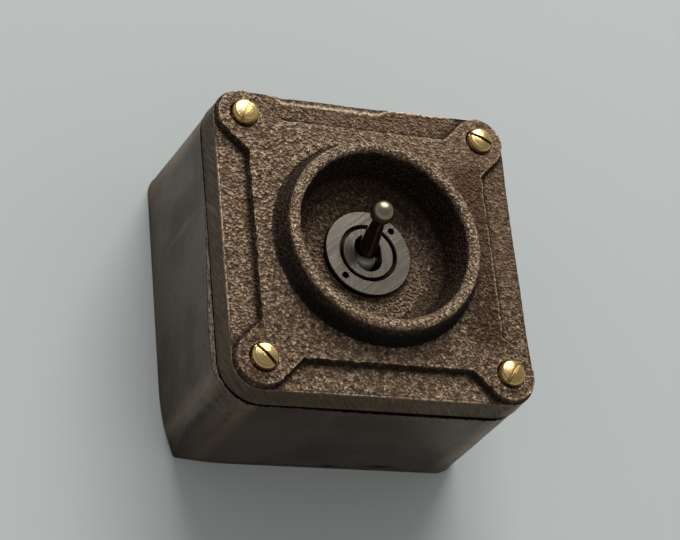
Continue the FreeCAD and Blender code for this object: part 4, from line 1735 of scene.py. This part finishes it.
@dataclass
class Dolly(Tilted):
    """Turned lever: ball, waisted cone stem, round hub and hollow tail, in millimetres."""

    reach: float = 16.2
    ball: float = 3.248
    neck: float = 1.75
    stem: float = 3.0
    hub: float = 3.35
    tail: float = 2.9
    tail_length: float = 9.5
    bore: float = 1.85
    bore_end: float = 2.6
    points: int = 112

    def build(self, finish: LeverBrass) -> Object:
        """Builds and dresses the lever.

        Args:
            finish: what the lever is made of.

        Returns:
            The lever.
        """
        skin = lathe(self.profile(), self.points)
        mesh = skin.mesh("lever", self.leaning(1.0))
        smooth(mesh, 40.0)
        across, up, along = np.vstack(skin.points).T
        low = self.reach - self.ball
        # Marks for painted light: a highlight streak down the stem, shade low on the ball, the dark
        # stem and the pale hub.
        bright = bell(np.degrees(np.arctan2(up, across)), -92.0, 7.0)
        stem = soft(low + 1.0 - along, 0.0, 0.5) * soft(along, self.hub - 0.5, self.hub + 0.1)
        put_values(mesh, {
            "shade": 0.8 * soft(low + 2.2 - along, 0.0, 1.6),
            "stem": stem,
            "streak_highlight": 0.85 * stem * bright,
            "hub": 1 - soft(along, self.hub - 0.9, self.hub - 0.4),
        })
        mesh.materials.append(finish.material())
        piece = shown("lever", mesh)
        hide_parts("dolly")
        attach(piece, Body.DOLLY.value)
        return piece

    def profile(self) -> list[Pair]:
        """Half section from the end of the bore, out round the tail, to the top of the ball.

        Returns:
            Radius and height of each ring.
        """
        neck_z = self.reach - math.sqrt(self.ball ** 2 - self.neck ** 2)
        slope = (self.stem - self.neck) / neck_z
        rows = [(0.0, -self.bore_end), (self.bore, -self.bore_end), (self.bore, -self.tail_length)]
        rows += [(self.tail - 0.15, -self.tail_length), (self.tail, -self.tail_length + 0.15)]
        hub_low = -math.sqrt(self.hub ** 2 - self.tail ** 2)
        rows += rows_to(rows[-1], (self.tail, hub_low), 1.5)
        start = math.degrees(math.atan2(hub_low, self.tail))
        for point in rows_round((0.0, 0.0), self.hub, start, 40.0, 0.25):
            if point[1] < 0 or point[0] > self.stem - slope * point[1]:
                rows.append(point)
        heights = np.arange(rows[-1][1] + 0.3, neck_z - 0.5, 0.5)
        rows += [(self.stem - slope * z, z) for z in heights]
        rows += [(self.neck + 0.02, neck_z - 0.1), (self.neck + 0.12, neck_z + 0.22)]
        drop = neck_z + 0.45 - self.reach
        begin = math.degrees(math.atan2(drop, math.sqrt(self.ball ** 2 - drop ** 2)))
        return rows + rows_round((0.0, self.reach), self.ball, begin, 90.0, 0.2)


@dataclass
class ToggleSpring(Tilted):
    """Coil spring in the lever's tail, in millimetres; it is wound at one length and does not
    shorten here as the plunger slides in.
    """

    seat: float = 2.6
    room: float = 3.4
    gap: float = 0.02
    wire: float = 0.4
    coil: float = 1.4
    turns: float = 4.0
    travel: float = 1.0

    def build(self, finish: TurnedBrass, tree: WireCoil) -> Object:
        """Builds and dresses the spring.

        Args:
            finish: what the wire is made of.
            tree: tree that winds the coil.

        Returns:
            The spring.
        """
        piece = shown("spring", bpy.data.meshes.new("spring"))
        length = self.room - 2 * self.gap
        tree.bake(piece, finish, {
            "Coil": self.coil * MM, "Wire": self.wire / 2 * MM, "Rise": (length - self.wire) * MM,
            "Turns": self.turns,
        })
        tipped = self.leaning(MM)
        low = self.seat + self.room - self.gap - self.wire / 2
        piece.data.transform(tipped @ Matrix.Translation((0.0, 0.0, -low * MM)))
        smooth(piece.data, 50.0)
        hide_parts("toggle_spring")
        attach(piece, Body.DOLLY.value)
        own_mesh(piece)
        return piece


@dataclass
class InnerWorks:
    """Pieces carried over from the frame, each with its own finish."""

    effects: Effects

    def dress(self) -> None:
        """Gives every carried-over piece its material."""
        silver = ((0.8, 0.78, 0.74), (0.5, 0.48, 0.44), 0.4, 0.3)
        brass = ((0.62, 0.48, 0.24), (0.4, 0.29, 0.13), 0.4, 0.26)
        nylon = ((0.75, 0.73, 0.68), (0.66, 0.63, 0.57), 0.4)
        dressed = {
            BrushedNickel("nickelled_ring", self.effects, Brushing.SLANTED): ["ring_nut"],
            BrushedNickel("nickelled_disc", self.effects, Brushing.UPRIGHT, 47.3): ["switch_bush"],
            TurnedBrass("plain_steel", self.effects, *STEEL): [
                "lock_washer", "pivot_pin", "bush_rivets"],
            TurnedBrass("contact_silver", self.effects, *silver): [
                "moving_contacts", "fixed_contacts"],
            TurnedBrass("terminal_brass", self.effects, *brass): [
                "rocker_contact", "common_terminal", "upper_terminal", "lower_terminal",
                "terminal_screws", "earth_washer", "earth_screw"],
            Moulded("black_moulding", self.effects): ["switch_body", "terminal_base"],
            Moulded("white_nylon", self.effects, *nylon): ["plunger"],
        }
        for finish, names in dressed.items():
            material = finish.material()
            for node in (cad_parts[name] for name in names):
                if not node.material_slots:
                    node.data.materials.append(material)
                for slot in node.material_slots:
                    slot.link, slot.material = "OBJECT", material
                LOG.info("dressed %s with %s", node.name, material.name)


@dataclass
class Studio:
    """Pale floor, soft light and the camera, in metres."""

    floor_size: float = 6.0
    floor_tone: Colour = (0.490, 0.520, 0.508)
    round_light: Colour = (0.40, 0.40, 0.40)
    backdrop_low: Colour = (0.46, 0.47, 0.46)
    backdrop_high: Colour = (0.24, 0.24, 0.24)
    key_place: tuple[float, float, float] = (0.25, 1.8, 1.6)
    key_size: Pair = (1.7, 1.5)
    key_power: float = 57.0
    camera_place: tuple[float, float, float] = (-0.1993, -0.2078, 0.4528)
    camera_right: tuple[float, float, float] = (0.9179, -0.0916, 0.3860)
    camera_up: tuple[float, float, float] = (-0.0832, 0.9069, 0.4130)
    focus: float = 1910.0
    frame_width: float = 680.0
    sensor: float = 36.0

    def build(self) -> None:
        """Sets floor, world, light, camera and colour view."""
        self.floor()
        self.world()
        self.key_light()
        self.camera()
        bpy.context.scene.view_settings.view_transform = "Standard"

    def floor(self) -> None:
        """Lays the pale floor that the switch lies on."""
        work = bmesh.new()
        bmesh.ops.create_grid(work, x_segments=4, y_segments=4, size=self.floor_size / 2)
        mesh = bpy.data.meshes.new("floor")
        work.to_mesh(mesh)
        work.free()
        material = bpy.data.materials.new("pale_floor")
        material.use_nodes = True
        Graph(material.node_tree).feed(material.node_tree.nodes["Principled BSDF"], {
            "Base Color": self.floor_tone, "Roughness": 0.85, "Specular IOR Level": 0.2,
        })
        mesh.materials.append(material)
        shown("floor", mesh)

    def world(self) -> None:
        """Sets soft light from all round, with a backdrop where camera and reflections see it."""
        world = bpy.data.worlds.new("studio")
        bpy.context.scene.world = world
        world.use_nodes = True
        graph = Graph(world.node_tree)
        rays = graph.node("ShaderNodeLightPath").outputs
        seen = graph.math("MAXIMUM", rays["Is Camera Ray"], rays["Is Glossy Ray"])
        seen = graph.math("MAXIMUM", seen, rays["Is Transmission Ray"])
        way = graph.node("ShaderNodeTexCoord").outputs["Generated"]
        height = graph.ramp(graph.node("ShaderNodeSeparateXYZ", {0: way}).outputs[2], 0.0, 0.75)
        backdrop = graph.mix(height, self.backdrop_low, self.backdrop_high)
        tone = graph.mix(seen, self.round_light, backdrop)
        graph.feed(world.node_tree.nodes["Background"], {"Color": tone})

    def key_light(self) -> None:
        """Hangs a large soft light that faces the switch."""
        light = bpy.data.lights.new("key", "AREA")
        light.shape = "RECTANGLE"
        light.size, light.size_y = self.key_size
        light.energy = self.key_power
        lamp = shown("key", light)
        lamp.location = self.key_place
        lamp.rotation_euler = (-Vector(self.key_place)).to_track_quat("-Z", "Y").to_euler()

    def camera(self) -> None:
        """Sets the camera where the photograph was taken from."""
        lens = bpy.data.cameras.new("camera")
        lens.sensor_fit = "HORIZONTAL"
        lens.sensor_width = self.sensor
        lens.lens = self.focus * self.sensor / self.frame_width
        lens.clip_start = 0.01
        right, up = Vector(self.camera_right).normalized(), Vector(self.camera_up)
        up = (up - right * up.dot(right)).normalized()
        turn = Matrix((right, up, right.cross(up))).transposed().to_4x4()
        stand = shown("camera", lens)
        stand.matrix_world = Matrix.Translation(self.camera_place) @ turn
        bpy.context.scene.camera = stand


def main() -> None:
    """Builds the pieces in order."""
    logging.basicConfig(level=logging.INFO, format="%(name)s: %(message)s")
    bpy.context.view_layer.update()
    effects = Effects()
    cast_skin = CastSkin()
    pieces = [
        Box().build(SatinBrass("browned_box", effects), cast_skin),
        Lid().build(CastBrass("browned_lid", effects), cast_skin),
        LidScrews().build(TurnedBrass("screw_brass", effects), ScrewSet()),
        Dolly().build(LeverBrass("dolly_brass", effects)),
        ToggleSpring().build(TurnedBrass("spring_steel", effects, *STEEL), WireCoil()),
    ]
    InnerWorks(effects).dress()
    Studio().build()
    for piece in pieces:
        LOG.info("%s: %d faces", piece.name, len(piece.data.polygons))


if __name__ == "__main__":
    main()
